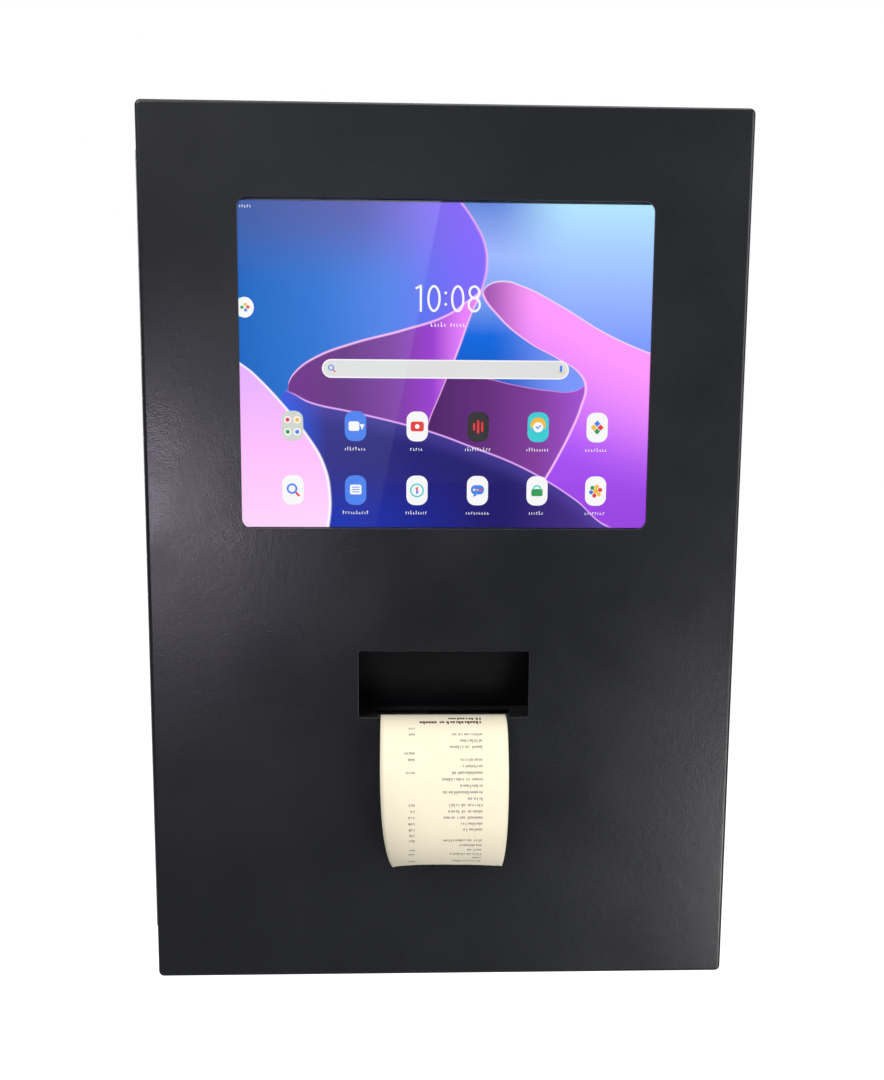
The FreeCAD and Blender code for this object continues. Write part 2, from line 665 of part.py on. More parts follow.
def make_tablet_plug():
    y_mid = TABLET_FRONT_Y + GLASS_DEPTH + 2.9
    x0 = TABLET_WIDTH / 2
    grip_x0 = x0 + 0.5
    grip_x1 = grip_x0 + GRIP_LENGTH
    tongue = block(x0 - TONGUE_REACH, grip_x0, y_mid - TONGUE_HALF_DEPTH, y_mid + TONGUE_HALF_DEPTH,
                   TABLET_Z - TONGUE_HALF_WIDTH, TABLET_Z + TONGUE_HALF_WIDTH)
    grip = rounded(grip_x0, grip_x1, y_mid - GRIP_HALF_DEPTH, y_mid + GRIP_HALF_DEPTH,
                   TABLET_Z - GRIP_HALF_WIDTH, TABLET_Z + GRIP_HALF_WIDTH, GRIP_R, X_AXIS)
    sleeve = rod_x(SLEEVE_R, grip_x1, grip_x1 + SLEEVE_LENGTH, y_mid, TABLET_Z)
    return fused([tongue, grip, sleeve])


PLATE_MARGIN_Z = 5.0
PLATE_R = 6.0
PLATE_VENT_R = 8.0
PLATE_VENT_PITCH = 34.0
POST_HOLE_R = 2.1
CLIP_HOLE_R = 1.6
CLIP_SCREW_INSET = 4.9


def make_carrier_plate():
    half_w = TABLET_WIDTH / 2 + PLATE_MARGIN
    half_h = TABLET_HEIGHT / 2 + PLATE_MARGIN_Z
    plate = rounded(-half_w, half_w, PLATE_FRONT_Y, PLATE_BACK_Y, TABLET_Z - half_h, TABLET_Z + half_h,
                    PLATE_R, Y_AXIS)
    holes = [(PLATE_VENT_R, column * PLATE_VENT_PITCH, TABLET_Z + row * PLATE_VENT_PITCH)
             for column in range(-3, 4) for row in range(-2, 3)]
    holes += [(POST_HOLE_R, x, z) for x, z in post_places()]
    holes += [(CLIP_HOLE_R, x, z) for x, z, turn in clip_places()]
    return plate.cut([rod_y(r, x, PLATE_FRONT_Y - 1, PLATE_BACK_Y + 1, z) for r, x, z in holes])


def post_places():
    x = TABLET_WIDTH / 2 + PLATE_MARGIN - POST_INSET
    return [(side * x, TABLET_Z + rise) for side in (-1, 1) for rise in (-POST_RISE, POST_RISE)]


def clip_places():
    """Screw centre x, z and the turn about Y of each clip (0 = at the right edge)."""
    reach_x = TABLET_WIDTH / 2 + SIDE_GAP + CLIP_SCREW_INSET
    places = []
    for rise in (-CLIP_RISE, CLIP_RISE):
        places.append((reach_x, TABLET_Z + rise, 0))
        places.append((-reach_x, TABLET_Z + rise, 180))
    return places


PAD_RISES = (-95, -51, 51, 95)
PAD_HALF_HEIGHT = 4.0


def make_tablet_pads():
    pads = []
    half_w = TABLET_WIDTH / 2 - PAD_INSET
    for rise in PAD_RISES:
        z = TABLET_Z + rise
        pads.append(block(-half_w, half_w, TABLET_BACK_Y, PLATE_FRONT_Y,
                          z - PAD_HALF_HEIGHT, z + PAD_HALF_HEIGHT))
    return group(pads)


CLIP_FOOT = 9.0
CLIP_LIP = 3.2
CLIP_FRONT_Y = TABLET_FRONT_Y - 1.1


def make_clips():
    clips = []
    for x, z, turn in clip_places():
        side = 1 if turn == 0 else -1
        edge_x = TABLET_WIDTH / 2 + SIDE_GAP
        low, high = z - CLIP_WIDTH / 2, z + CLIP_WIDTH / 2
        foot = block(edge_x, edge_x + CLIP_FOOT, PLATE_FRONT_Y - CLIP_SHEET, PLATE_FRONT_Y, low, high)
        post = block(edge_x, edge_x + CLIP_SHEET, CLIP_FRONT_Y, PLATE_FRONT_Y, low, high)
        lip = block(edge_x - CLIP_LIP, edge_x + CLIP_SHEET, CLIP_FRONT_Y, CLIP_FRONT_Y + 1.0, low, high)
        clip = fused([foot, post, lip])
        clip = clip.cut(rod_y(CLIP_HOLE_R, edge_x + CLIP_SCREW_INSET, PLATE_FRONT_Y - 3,
                              PLATE_FRONT_Y + 1, z))
        clips.append(clip if side == 1 else mirrored_x(clip))
    return group(clips)


def make_clip_screws():
    seat = PLATE_FRONT_Y - CLIP_SHEET
    return group([pan_head_y(x, seat, z, 2.8, 1.6, 1.6, 5.0) for x, z, turn in clip_places()])


def make_posts():
    posts = []
    for x, z in post_places():
        post = hexagon_y(POST_AF, x, PLATE_BACK_Y, WALL_Y, z)
        posts.append(post.cut(rod_y(2.1, x, PLATE_BACK_Y - 1, PLATE_BACK_Y + 10, z)))
    return group(posts)


def make_post_screws():
    return group([pan_head_y(x, PLATE_FRONT_Y, z, 3.4, 2.0, 2.1, SHEET + 8) for x, z in post_places()])


# ---------------------------------------------------------------- printer
def make_printer_frame():
    half = FRAME_HALF_WIDTH
    side = block(half, half + FRAME_SHEET, FRAME_FRONT_Y, FRAME_BACK_Y, FRAME_BOTTOM_Z, FRAME_TOP_Z)
    side = fillet_where(side, 4.0, lambda edge: along(edge, X_AXIS) and edge.BoundBox.YMin < -100
                        and edge.BoundBox.ZMin < -150)
    back = block(-half, half, FRAME_BACK_Y - FRAME_SHEET, FRAME_BACK_Y, FRAME_BOTTOM_Z, FRAME_TOP_Z)
    frame = fused(both_sides(side) + [back])
    through = half + FRAME_SHEET + 1
    cuts = [
        rod_x(5.0, -through, through, PLATEN_Y, PLATEN_Z),
        rod_x(HEAD_SHAFT_R + RUNNING_GAP, -through, through, HEAD_PIVOT_Y, HEAD_PIVOT_Z),
        rod_x(2.0 + RUNNING_GAP, -through, through, LEVER_Y, LEVER_Z),
        rod_x(3.2, -through, 0, PINION_CENTRE[0], PINION_CENTRE[1]),
    ]
    return frame.cut(cuts)


def make_spring_bar():
    half = FRAME_HALF_WIDTH
    return block(-half, half, -87, -85, -134, -124)


def gear_centres():
    first = GEAR_MODULE * (PLATEN_TEETH + IDLER_TEETH) / 2
    second = GEAR_MODULE * (IDLER_TEETH + PINION_TEETH) / 2
    turn_1 = math.radians(IDLER_ANGLE)
    turn_2 = math.radians(PINION_ANGLE)
    idler = (PLATEN_Y + first * math.cos(turn_1), PLATEN_Z + first * math.sin(turn_1))
    pinion = (idler[0] + second * math.cos(turn_2), idler[1] + second * math.sin(turn_2))
    return idler, pinion


IDLER_CENTRE, PINION_CENTRE = gear_centres()
GEAR_X1 = -FRAME_HALF_WIDTH - FRAME_SHEET - 1.2
GEAR_X0 = GEAR_X1 - GEAR_WIDTH


def idler_phase():
    return IDLER_ANGLE + 180 + 180.0 / IDLER_TEETH


def pinion_phase():
    pitch_deg = 360.0 / IDLER_TEETH
    offset = (idler_phase() - PINION_ANGLE) % pitch_deg
    gap_angle = PINION_ANGLE + 180 - offset * IDLER_TEETH / PINION_TEETH
    return gap_angle + 180.0 / PINION_TEETH


def make_platen_gear():
    wheel = involute_gear(PLATEN_TEETH, GEAR_MODULE, GEAR_WIDTH, GEAR_X0, PLATEN_Y, PLATEN_Z,
                          IDLER_ANGLE, "x", PLATEN_SHAFT_R)
    return wheel


def make_idler_gear():
    return involute_gear(IDLER_TEETH, GEAR_MODULE, GEAR_WIDTH, GEAR_X0, IDLER_CENTRE[0], IDLER_CENTRE[1],
                         idler_phase(), "x", 2.0 + RUNNING_GAP)


def make_idler_stud():
    y, z = IDLER_CENTRE
    stud = rod_x(2.0, GEAR_X0 - 1.4, -FRAME_HALF_WIDTH - FRAME_SHEET, y, z)
    cap = rod_x(3.4, GEAR_X0 - 1.4, GEAR_X0 - 0.3, y, z)
    collar = rod_x(3.2, GEAR_X1 + 0.3, -FRAME_HALF_WIDTH - FRAME_SHEET, y, z)
    return fused([stud, cap, collar])


def make_feed_pinion():
    y, z = PINION_CENTRE
    wheel = involute_gear(PINION_TEETH, GEAR_MODULE, GEAR_WIDTH, GEAR_X0, y, z, pinion_phase(), "x", 1.0)
    return fused([wheel, rod_x(1.0, GEAR_X0 - 1, -FRAME_HALF_WIDTH + 6, y, z)])


def make_feed_motor():
    y, z = PINION_CENTRE
    x0 = -FRAME_HALF_WIDTH
    can = rod_x(FEED_MOTOR_R, x0 + 1, x0 + FEED_MOTOR_LENGTH, y, z)
    can = fillet_where(can, 1.0, lambda edge: abs(edge.BoundBox.XMin - x0 - FEED_MOTOR_LENGTH) < 1e-6)
    ears = block(x0, x0 + 1, y - 3, y + 3, z - 17, z + 17)
    flange = rod_x(FEED_MOTOR_R, x0, x0 + 1, y, z)
    bore = rod_x(1.0 + RUNNING_GAP, x0 - 1, x0 + 7, y, z)
    return fused([can, ears, flange]).cut(bore)


def make_platen_roller():
    half = PLATEN_LENGTH / 2
    sleeve = rod_x(PLATEN_R, -half, half, PLATEN_Y, PLATEN_Z)
    return sleeve.cut(rod_x(PLATEN_SHAFT_R, -half - 1, half + 1, PLATEN_Y, PLATEN_Z))


def make_platen_shaft():
    return rod_x(PLATEN_SHAFT_R, GEAR_X0 - 0.5, FRAME_HALF_WIDTH + FRAME_SHEET + 2, PLATEN_Y, PLATEN_Z)


BUSH_R = 5.0
BUSH_FLANGE_R = 5.7
BUSH_FLANGE_DEPTH = 0.8
BUSH_STEP = 1.5


def make_platen_bushes():
    x0 = FRAME_HALF_WIDTH - BUSH_STEP
    x1 = FRAME_HALF_WIDTH + FRAME_SHEET
    sleeve = rod_x(BUSH_R, x0, x1, PLATEN_Y, PLATEN_Z)
    flange = rod_x(BUSH_FLANGE_R, x0 - BUSH_FLANGE_DEPTH, x0 + BUSH_STEP, PLATEN_Y, PLATEN_Z)
    bore = rod_x(PLATEN_SHAFT_R + RUNNING_GAP, x0 - 2, x1 + 2, PLATEN_Y, PLATEN_Z)
    bush = fused([sleeve, flange]).cut(bore)
    return group(both_sides(bush))


HEAD_HALF_WIDTH = 42.0
HEAD_STRIP_DEPTH = 1.2
HEAD_EAR_SHEET = 2.0
HEAD_EAR_R = 3.5
HEAD_EAR_TOP_Z = HEAD_PIVOT_Z + 8
SINK_X0 = -18.0
SINK_X1 = 40.0
SINK_TOP_Z = -136.0
SINK_SHEET = 1.2
FIN_COUNT = 12
FIN_PITCH = 5.0
FIN_DEPTH = 4.5


def make_thermal_head():
    """The ceramic print head on its carrier plate."""
    face_y = PAPER_Y + WEB_THICKNESS / 2 + RUNNING_GAP
    carrier_y = face_y + HEAD_STRIP_DEPTH
    half = HEAD_HALF_WIDTH
    carrier = block(-half, half, carrier_y, HEAD_PIVOT_Y, HEAD_PIVOT_Z + 6, HEAD_TOP_Z)
    strip = block(1 - half, half - 1, face_y, carrier_y, PLATEN_Z - 8, PLATEN_Z + 7)
    ears = block(half - HEAD_EAR_SHEET, half, face_y + 2.5, HEAD_PIVOT_Y + HEAD_EAR_R,
                 HEAD_PIVOT_Z - HEAD_EAR_R, HEAD_EAR_TOP_Z)
    head = fused([carrier, strip] + both_sides(ears))
    return head.cut(rod_x(HEAD_SHAFT_R, -half - 8, half + 8, HEAD_PIVOT_Y, HEAD_PIVOT_Z))


def make_heat_sink():
    base = block(SINK_X0, SINK_X1, HEAD_PIVOT_Y, HEAD_PIVOT_Y + SINK_SHEET, HEAD_EAR_TOP_Z, SINK_TOP_Z)
    fins = []
    for step in range(FIN_COUNT):
        x = SINK_X0 + 1 + step * FIN_PITCH
        fins.append(block(x, x + SINK_SHEET, HEAD_PIVOT_Y, HEAD_PIVOT_Y + FIN_DEPTH,
                          HEAD_EAR_TOP_Z, SINK_TOP_Z))
    return fused([base] + fins)


def make_head_shaft():
    end = FRAME_HALF_WIDTH + FRAME_SHEET + 1
    return rod_x(HEAD_SHAFT_R, -end, end, HEAD_PIVOT_Y, HEAD_PIVOT_Z)


SPRING_COILS = 6
SPRING_X = 32.0
SPRING_Z = -129.0
SPRING_BACK_Y = -87.0
SPRING_WIRE_IN_R = 2.4
SPRING_WIRE_OUT_R = 3.4


def make_head_springs():
    """Two coil springs between the head and the bar, as one ribbed solid each."""
    springs = []
    half_pitch = (SPRING_BACK_Y - HEAD_PIVOT_Y) / SPRING_COILS / 2
    for x in (-SPRING_X, SPRING_X):
        rings = []
        for coil in range(SPRING_COILS):
            low = V(x, HEAD_PIVOT_Y + 2 * coil * half_pitch, SPRING_Z)
            crest = low + V(0, half_pitch, 0)
            rings.append(Part.makeCone(SPRING_WIRE_IN_R, SPRING_WIRE_OUT_R, half_pitch, low, Y_AXIS))
            rings.append(Part.makeCone(SPRING_WIRE_OUT_R, SPRING_WIRE_IN_R, half_pitch, crest, Y_AXIS))
        springs.append(fused(rings))
    return group(springs)


LEVER_SHAFT_R = 2.0
LEVER_SHAFT_END = 3.0
LEVER_X0 = FRAME_HALF_WIDTH + 3.5
LEVER_HUB_R = 4.5
LEVER_SHEET = 2.5
LEVER_HALF_HEIGHT = 3.0
LEVER_TIP = 6.0
LEVER_TIP_HALF_HEIGHT = 4.0


def make_head_lever():
    end_y = LEVER_Y + LEVER_LENGTH
    shaft = rod_x(LEVER_SHAFT_R, -FRAME_HALF_WIDTH - LEVER_SHAFT_END, LEVER_X0, LEVER_Y, LEVER_Z)
    hub = rod_x(LEVER_HUB_R, LEVER_X0, LEVER_X0 + LEVER_SHEET, LEVER_Y, LEVER_Z)
    arm = block(LEVER_X0, LEVER_X0 + LEVER_SHEET, LEVER_Y, end_y,
                LEVER_Z - LEVER_HALF_HEIGHT, LEVER_Z + LEVER_HALF_HEIGHT)
    tip = block(LEVER_X0, LEVER_X0 + LEVER_TIP, end_y - LEVER_TIP, end_y,
                LEVER_Z - LEVER_TIP_HALF_HEIGHT, LEVER_Z + LEVER_TIP_HALF_HEIGHT)
    tip = fillet_where(tip, 1.0, lambda edge: along(edge, X_AXIS))
    return fused([shaft, hub, arm, tip])


GUIDE_Z0 = -180.0
GUIDE_Z1 = -163.0
GUIDE_HALF_DEPTH = 3.0
GUIDE_END_WALL = 4.0
GUIDE_HALF_GAP = 1.2


def make_paper_guide():
    half = FRAME_HALF_WIDTH
    outer = block(-half, half, PAPER_Y - GUIDE_HALF_DEPTH, PAPER_Y + GUIDE_HALF_DEPTH, GUIDE_Z0, GUIDE_Z1)
    inner = block(GUIDE_END_WALL - half, half - GUIDE_END_WALL, PAPER_Y - GUIDE_HALF_GAP,
                  PAPER_Y + GUIDE_HALF_GAP, GUIDE_Z0 - 1, GUIDE_Z1 + 1)
    return outer.cut(inner)


def make_paper_web():
    half = PAPER_WIDTH / 2
    return block(-half, half, PAPER_Y - WEB_THICKNESS / 2, PAPER_Y + WEB_THICKNESS / 2, ROLL_Z, -112.6)


BLADE_Z1 = CUTTER_TOP_Z - 3.0
BLADE_Z0 = BLADE_Z1 - BLADE_THICKNESS
RACK_PITCH_X = 10.0
RACK_PINION_X = RACK_PITCH_X + RACK_MODULE * RACK_TEETH / 2
RACK_PINION_Y = -79.0
RACK_PINION_TIP_R = RACK_MODULE * (RACK_TEETH / 2 + 1)


def make_cutter_frame():
    top_z = CUTTER_TOP_Z
    half = FRAME_HALF_WIDTH
    rail = block(half, half + 4, FRAME_FRONT_Y, FRAME_BACK_Y - 4, FRAME_TOP_Z, top_z)
    cover = block(-half, half, FRAME_FRONT_Y, FRAME_BACK_Y - 4, top_z - 1, top_z)
    slot = block(-42, 42, PAPER_Y - 3.5, PAPER_Y + 3.5, top_z - 2, top_z + 1)
    floor = block(-half, half, PAPER_Y + 5.5, FRAME_BACK_Y - 4, FRAME_TOP_Z, FRAME_TOP_Z + 1.2)
    shaft_hole = rod_z(3.0, RACK_PINION_X, RACK_PINION_Y, FRAME_TOP_Z - 1, FRAME_TOP_Z + 2)
    return fused(both_sides(rail) + [cover.cut(slot), floor.cut(shaft_hole)])


def make_fixed_blade():
    half = FRAME_HALF_WIDTH
    top = BLADE_Z0 - 0.05
    blade = prism_x([(FRAME_FRONT_Y, top), (PAPER_Y - 0.6, top), (PAPER_Y - 2.6, top - 1.9),
                     (FRAME_FRONT_Y, top - 1.9)], -half, half)
    return blade


def make_cutter_blade():
    """Moving blade: a plate with a bevelled edge and a rack in its window."""
    edge_y = PAPER_Y + 4.0
    window_y0 = RACK_PINION_Y - 15
    window_y1 = RACK_PINION_Y + RACK_PINION_TIP_R + BLADE_TRAVEL + 1
    back_y = window_y1 + 3.5
    plate = prism_x([(edge_y, BLADE_Z0), (edge_y + 2.4, BLADE_Z1), (back_y, BLADE_Z1),
                     (back_y, BLADE_Z0)], -BLADE_HALF_WIDTH, BLADE_HALF_WIDTH)
    reach = RACK_MODULE * 1.25
    window = block(RACK_PITCH_X - reach, RACK_PINION_X + 8, window_y0, window_y1,
                   BLADE_Z0 - 1, BLADE_Z1 + 1)
    plate = plate.cut(window)
    pitch = math.pi * RACK_MODULE
    half_tooth = pitch / 4 - 0.04
    slope = math.tan(math.radians(20))
    teeth = []
    for index in range(-4, 4):
        y = RACK_PINION_Y + (index + 0.5) * pitch
        root = half_tooth + reach * slope
        tip = half_tooth - RACK_MODULE * slope
        x_root = RACK_PITCH_X - reach - 0.2
        x_tip = RACK_PITCH_X + RACK_MODULE
        corners = [V(x_root, y - root, BLADE_Z0), V(x_root, y + root, BLADE_Z0),
                   V(x_tip, y + tip, BLADE_Z0), V(x_tip, y - tip, BLADE_Z0)]
        face = Part.Face(Part.makePolygon(corners + corners[:1]))
        teeth.append(face.extrude(V(0, 0, BLADE_THICKNESS)))
    return fused([plate] + teeth)


def make_cutter_pinion():
    wheel = involute_gear(RACK_TEETH, RACK_MODULE, BLADE_THICKNESS + 0.4, RACK_PINION_X, RACK_PINION_Y,
                          BLADE_Z0 - 0.2, 180.0, "z", 1.5)
    return fused([wheel, rod_z(1.5, RACK_PINION_X, RACK_PINION_Y, FRAME_TOP_Z - 6, BLADE_Z1 + 0.2)])


CUTTER_MOTOR_R = 10.0
CUTTER_MOTOR_LENGTH = 10.5
CUTTER_MOTOR_BORE = 7.0


def make_cutter_motor():
    can = rod_z(CUTTER_MOTOR_R, RACK_PINION_X, RACK_PINION_Y, FRAME_TOP_Z - CUTTER_MOTOR_LENGTH, FRAME_TOP_Z)
    return can.cut(rod_z(1.5 + RUNNING_GAP, RACK_PINION_X, RACK_PINION_Y,
                         FRAME_TOP_Z - CUTTER_MOTOR_BORE, FRAME_TOP_Z + 1))


# The printer's circuit board stands on edge beside the frame, with its parts on the outside.
BOARD_X = FRAME_HALF_WIDTH + 12.0
BOARD_SHEET = 1.6
BOARD_FACE_X = BOARD_X + BOARD_SHEET
BOARD_MIDDLE_X = BOARD_X + BOARD_SHEET / 2
BOARD_Y = (-108.0, -62.0)
BOARD_Z = (-180.0, -130.0)
# Height above the board, then the y and z ranges of its chip, connectors and socket.
BOARD_PARTS = (
    (1.8, (-98, -84), (-160, -146)),
    (6.0, (-82, -64), (-142, -133)),
    (8.0, (-82, -66), (-180, -168)),
    (5.4, (-108, -98), (-176, -168)),
)
CAPACITOR_R = 2.5
CAPACITOR_HEIGHT = 6.4
CAPACITOR_Y = -72.0
CAPACITOR_Z = (-150, -156, -162)
SPACER_R = 2.2
SPACER_PLACES = ((-104, -176), (-104, -134), (-66, -176))
FEED_BUTTON_Z = -142.0
FEED_SWITCH_HALF = 3.0
FEED_SWITCH_DEPTH = 4.0
FEED_WELL_R = 1.9
FEED_WELL_Y = BOARD_Y[0] - 2.6
FEED_STEM_R = 1.7
FEED_STEM_Y = BOARD_Y[0] - 3.4
FEED_CAP_R = 3.0
FEED_CAP_DEPTH = 2.5
FEED_CAP_Y = BOARD_Y[0] - 4.9


def make_printer_board():
    board = block(BOARD_X, BOARD_FACE_X, *BOARD_Y, *BOARD_Z)
    parts = [block(BOARD_FACE_X, BOARD_FACE_X + height, *y, *z) for height, y, z in BOARD_PARTS]
    parts += [rod_x(CAPACITOR_R, BOARD_FACE_X, BOARD_FACE_X + CAPACITOR_HEIGHT, CAPACITOR_Y, z)
              for z in CAPACITOR_Z]
    switch = block(BOARD_MIDDLE_X - FEED_SWITCH_HALF, BOARD_MIDDLE_X + FEED_SWITCH_HALF,
                   BOARD_Y[0] - FEED_SWITCH_DEPTH, BOARD_Y[0],
                   FEED_BUTTON_Z - FEED_SWITCH_HALF, FEED_BUTTON_Z + FEED_SWITCH_HALF)
    well = rod_y(FEED_WELL_R, BOARD_MIDDLE_X, BOARD_Y[0] - FEED_SWITCH_DEPTH - 1, FEED_WELL_Y, FEED_BUTTON_Z)
    return fused([board, switch] + parts).cut(well)


def make_board_spacers():
    x0 = FRAME_HALF_WIDTH + FRAME_SHEET
    return group([rod_x(SPACER_R, x0, BOARD_X, y, z) for y, z in SPACER_PLACES])


def make_feed_button():
    front = FEED_CAP_Y - FEED_CAP_DEPTH
    stem = rod_y(FEED_STEM_R, BOARD_MIDDLE_X, FEED_CAP_Y, FEED_STEM_Y, FEED_BUTTON_Z)
    cap = rod_y(FEED_CAP_R, BOARD_MIDDLE_X, front, FEED_CAP_Y, FEED_BUTTON_Z)
    cap = fillet_where(cap, 0.5, lambda edge: on_plane_y(edge, front))
    return fused([stem, cap])


SHELF_SCREW_X = (-40, 40)
SHELF_SCREW_Z = FRAME_BOTTOM_Z + 26
SHELF_HOLE_R = 2.05
SHELF_SHEET = 1.5
SHELF_MARGIN = 16.0
SHELF_FLANGE = 40.0
GUSSET_HEIGHT = 38.0


def make_printer_shelf():
    half = FRAME_HALF_WIDTH + SHELF_MARGIN
    z1 = FRAME_BOTTOM_Z
    face_y = WALL_Y - SHELF_SHEET
    shelf = block(-half, half, PAPER_Y + 5, WALL_Y, z1 - SHELF_SHEET, z1)
    flange = block(-half, half, face_y, WALL_Y, z1, z1 + SHELF_FLANGE)
    gusset = prism_x([(face_y, z1), (FRAME_BACK_Y + 2, z1), (face_y, z1 + GUSSET_HEIGHT)],
                     half - SHELF_SHEET, half)
    holes = [rod_y(SHELF_HOLE_R, x, WALL_Y - 3, WALL_Y + 1, SHELF_SCREW_Z) for x in SHELF_SCREW_X]
    return fused([shelf, flange.cut(holes)] + both_sides(gusset))


def make_shelf_screws():
    seat = WALL_Y - SHELF_SHEET
    return group([pan_head_y(x, seat, SHELF_SCREW_Z, 4.0, 2.2, 2.0, 1.5) for x in SHELF_SCREW_X])


BRACKET_X = FRAME_HALF_WIDTH + 2
BRACKET_SHEET = 1.5
BRACKET_REACH = 14.0
BRACKET_R = 8.0
SPINDLE_END_R = 5.0
SPINDLE_END = 4.0


def make_roll_brackets():
    x0 = BRACKET_X
    low, high = ROLL_Z - BRACKET_REACH, ROLL_Z + BRACKET_REACH
    plate = block(x0, x0 + BRACKET_SHEET, ROLL_Y - BRACKET_REACH, WALL_Y, low, high)
    plate = fillet_where(plate, BRACKET_R, lambda edge: along(edge, X_AXIS) and edge.BoundBox.YMin < ROLL_Y)
    foot = block(x0, x0 + BRACKET_REACH, WALL_Y - BRACKET_SHEET, WALL_Y, low, high)
    bracket = fused([plate, foot]).cut(rod_x(SPINDLE_END_R, x0 - 1, x0 + 3, ROLL_Y, ROLL_Z))
    return group(both_sides(bracket))


def make_roll_spindle():
    body = rod_x(SPINDLE_R, -BRACKET_X, BRACKET_X, ROLL_Y, ROLL_Z)
    ends = rod_x(SPINDLE_END_R, -BRACKET_X - SPINDLE_END, BRACKET_X + SPINDLE_END, ROLL_Y, ROLL_Z)
    return fused([body, ends])


def make_roll_core():
    half = PAPER_WIDTH / 2
    core = rod_x(CORE_R, -half, half, ROLL_Y, ROLL_Z)
    return core.cut(rod_x(CORE_BORE_R, -half - 1, half + 1, ROLL_Y, ROLL_Z))


def make_paper_roll():
    half = PAPER_WIDTH / 2 - 0.2
    roll = rod_x(ROLL_R, -half, half, ROLL_Y, ROLL_Z)
    return roll.cut(rod_x(CORE_R, -half - 1, half + 1, ROLL_Y, ROLL_Z))


# ---------------------------------------------------------------- power
SUPPLY_X0 = SUPPLY_CENTRE_X - SUPPLY_WIDTH / 2
SUPPLY_X1 = SUPPLY_CENTRE_X + SUPPLY_WIDTH / 2
SUPPLY_Z1 = SUPPLY_BOTTOM_Z + SUPPLY_HEIGHT
TERMINAL_RISE = 16.0


def make_supply_case():
    """Aluminium channel: the wall side and the two long sides, open at the front."""
    y0 = WALL_Y - SUPPLY_DEPTH
    low = SUPPLY_BOTTOM_Z + TERMINAL_RISE
    outer = block(SUPPLY_X0, SUPPLY_X1, y0 + 1.0, WALL_Y, low, SUPPLY_Z1)
    inner = block(SUPPLY_X0 + 1.5, SUPPLY_X1 - 1.5, y0, WALL_Y - 1.5, low - 1, SUPPLY_Z1 + 1)
    tray = block(SUPPLY_X0, SUPPLY_X1, WALL_Y - 1.5, WALL_Y, SUPPLY_BOTTOM_Z, low)
    return fused([outer.cut(inner), tray])


def make_supply_cover():
    y0 = WALL_Y - SUPPLY_DEPTH
    low = SUPPLY_BOTTOM_Z + TERMINAL_RISE
    face = block(SUPPLY_X0, SUPPLY_X1, y0, y0 + 1.0, low, SUPPLY_Z1)
    top = block(SUPPLY_X0 + 1.5, SUPPLY_X1 - 1.5, y0 + 1.0, WALL_Y - 1.5, SUPPLY_Z1 - 1.0, SUPPLY_Z1)
    cuts = []
    for column in range(8):
        for row in range(10):
            x = SUPPLY_X0 + 14 + column * 10
            z = low + 22 + row * 10
            cuts.append(rod_y(2.5, x, y0 - 1, y0 + 2, z))
    return fused([face, top]).cut(cuts)


def make_supply_board():
    low = SUPPLY_BOTTOM_Z + TERMINAL_RISE
    y1 = WALL_Y - 5
    board = block(SUPPLY_X0 + 3, SUPPLY_X1 - 3, y1 - 1.6, y1, low + 1, SUPPLY_Z1 - 4)
    parts = [
        block(SUPPLY_X0 + 14, SUPPLY_X0 + 44, y1 - 30, y1 - 1.6, low + 60, low + 90),
        block(SUPPLY_X0 + 70, SUPPLY_X0 + 76, y1 - 28, y1 - 1.6, low + 20, low + 110),
    ]
    for x, z in ((26, 28), (50, 28), (52, 112), (30, 112)):
        parts.append(rod_y(8.0, SUPPLY_X0 + x, y1 - 27, y1 - 1.6, low + z))
    return fused([board] + parts)


def terminal_x(index):
    return SUPPLY_X0 + 14 + index * 11


def make_terminal_block():
    z0 = SUPPLY_BOTTOM_Z + 1
    z1 = SUPPLY_BOTTOM_Z + TERMINAL_RISE
    y1 = WALL_Y - 1.5
    bar = block(SUPPLY_X0 + 6, SUPPLY_X0 + 84, y1 - 16, y1, z0, z1)
    cuts = []
    for index in range(7):
        x = terminal_x(index)
        cuts.append(block(x - 4.5, x + 4.5, y1 - 17, y1 - 11, z0 - 1, z0 + 11))
    bar = bar.cut(cuts)
    screws = [rod_y(2.8, terminal_x(index), y1 - 13, y1 - 11, z0 + 5.5) for index in range(7)]
    return fused([bar] + screws)


def make_mains_inlet():
    z0 = -HALF_H
    half_w = INLET_WIDTH / 2
    half_d = INLET_DEPTH / 2
    flange = rounded(INLET_X - half_w, INLET_X + half_w, INLET_Y - half_d, INLET_Y + half_d,
                     z0 - FLANGE_SHEET, z0, 3.0, Z_AXIS)
    body = block(INLET_X - half_w + 2.2, INLET_X + half_w - 2.2, INLET_Y - half_d + 2.2,
                 INLET_Y + half_d - 2.2, z0, z0 + INLET_RISE)
    socket = rounded(INLET_X - 22, INLET_X + 2, INLET_Y - 8, INLET_Y + 8, z0 - FLANGE_SHEET - 1,
                     z0 + 15, 3.0, Z_AXIS)
    switch_well = block(ROCKER_X - 5.7, ROCKER_X + 5.7, INLET_Y - 9.6, INLET_Y + 9.6,
                        z0 - FLANGE_SHEET - 1, z0 + 10)
    return fused([flange, body]).cut([socket, switch_well])


ROCKER_X = INLET_X + 14.0
ROCKER_Z = -HALF_H + 4.0


def make_inlet_pins():
    z0 = -HALF_H
    pins = []
    for dx, dy in ((-7, 2), (0, -2), (7, 2)):
        x = INLET_X - 10 + dx
        pins.append(block(x - 1, x + 1, INLET_Y + dy - 2, INLET_Y + dy + 2, z0 + 3, z0 + 15))
    tabs = []
    for x in (INLET_X - 17, INLET_X - 10, INLET_X - 3):
        tabs.append(block(x - 0.4, x + 0.4, INLET_Y - 3, INLET_Y + 3, z0 + INLET_RISE,
                          z0 + INLET_RISE + 8))
    return group(pins + tabs)


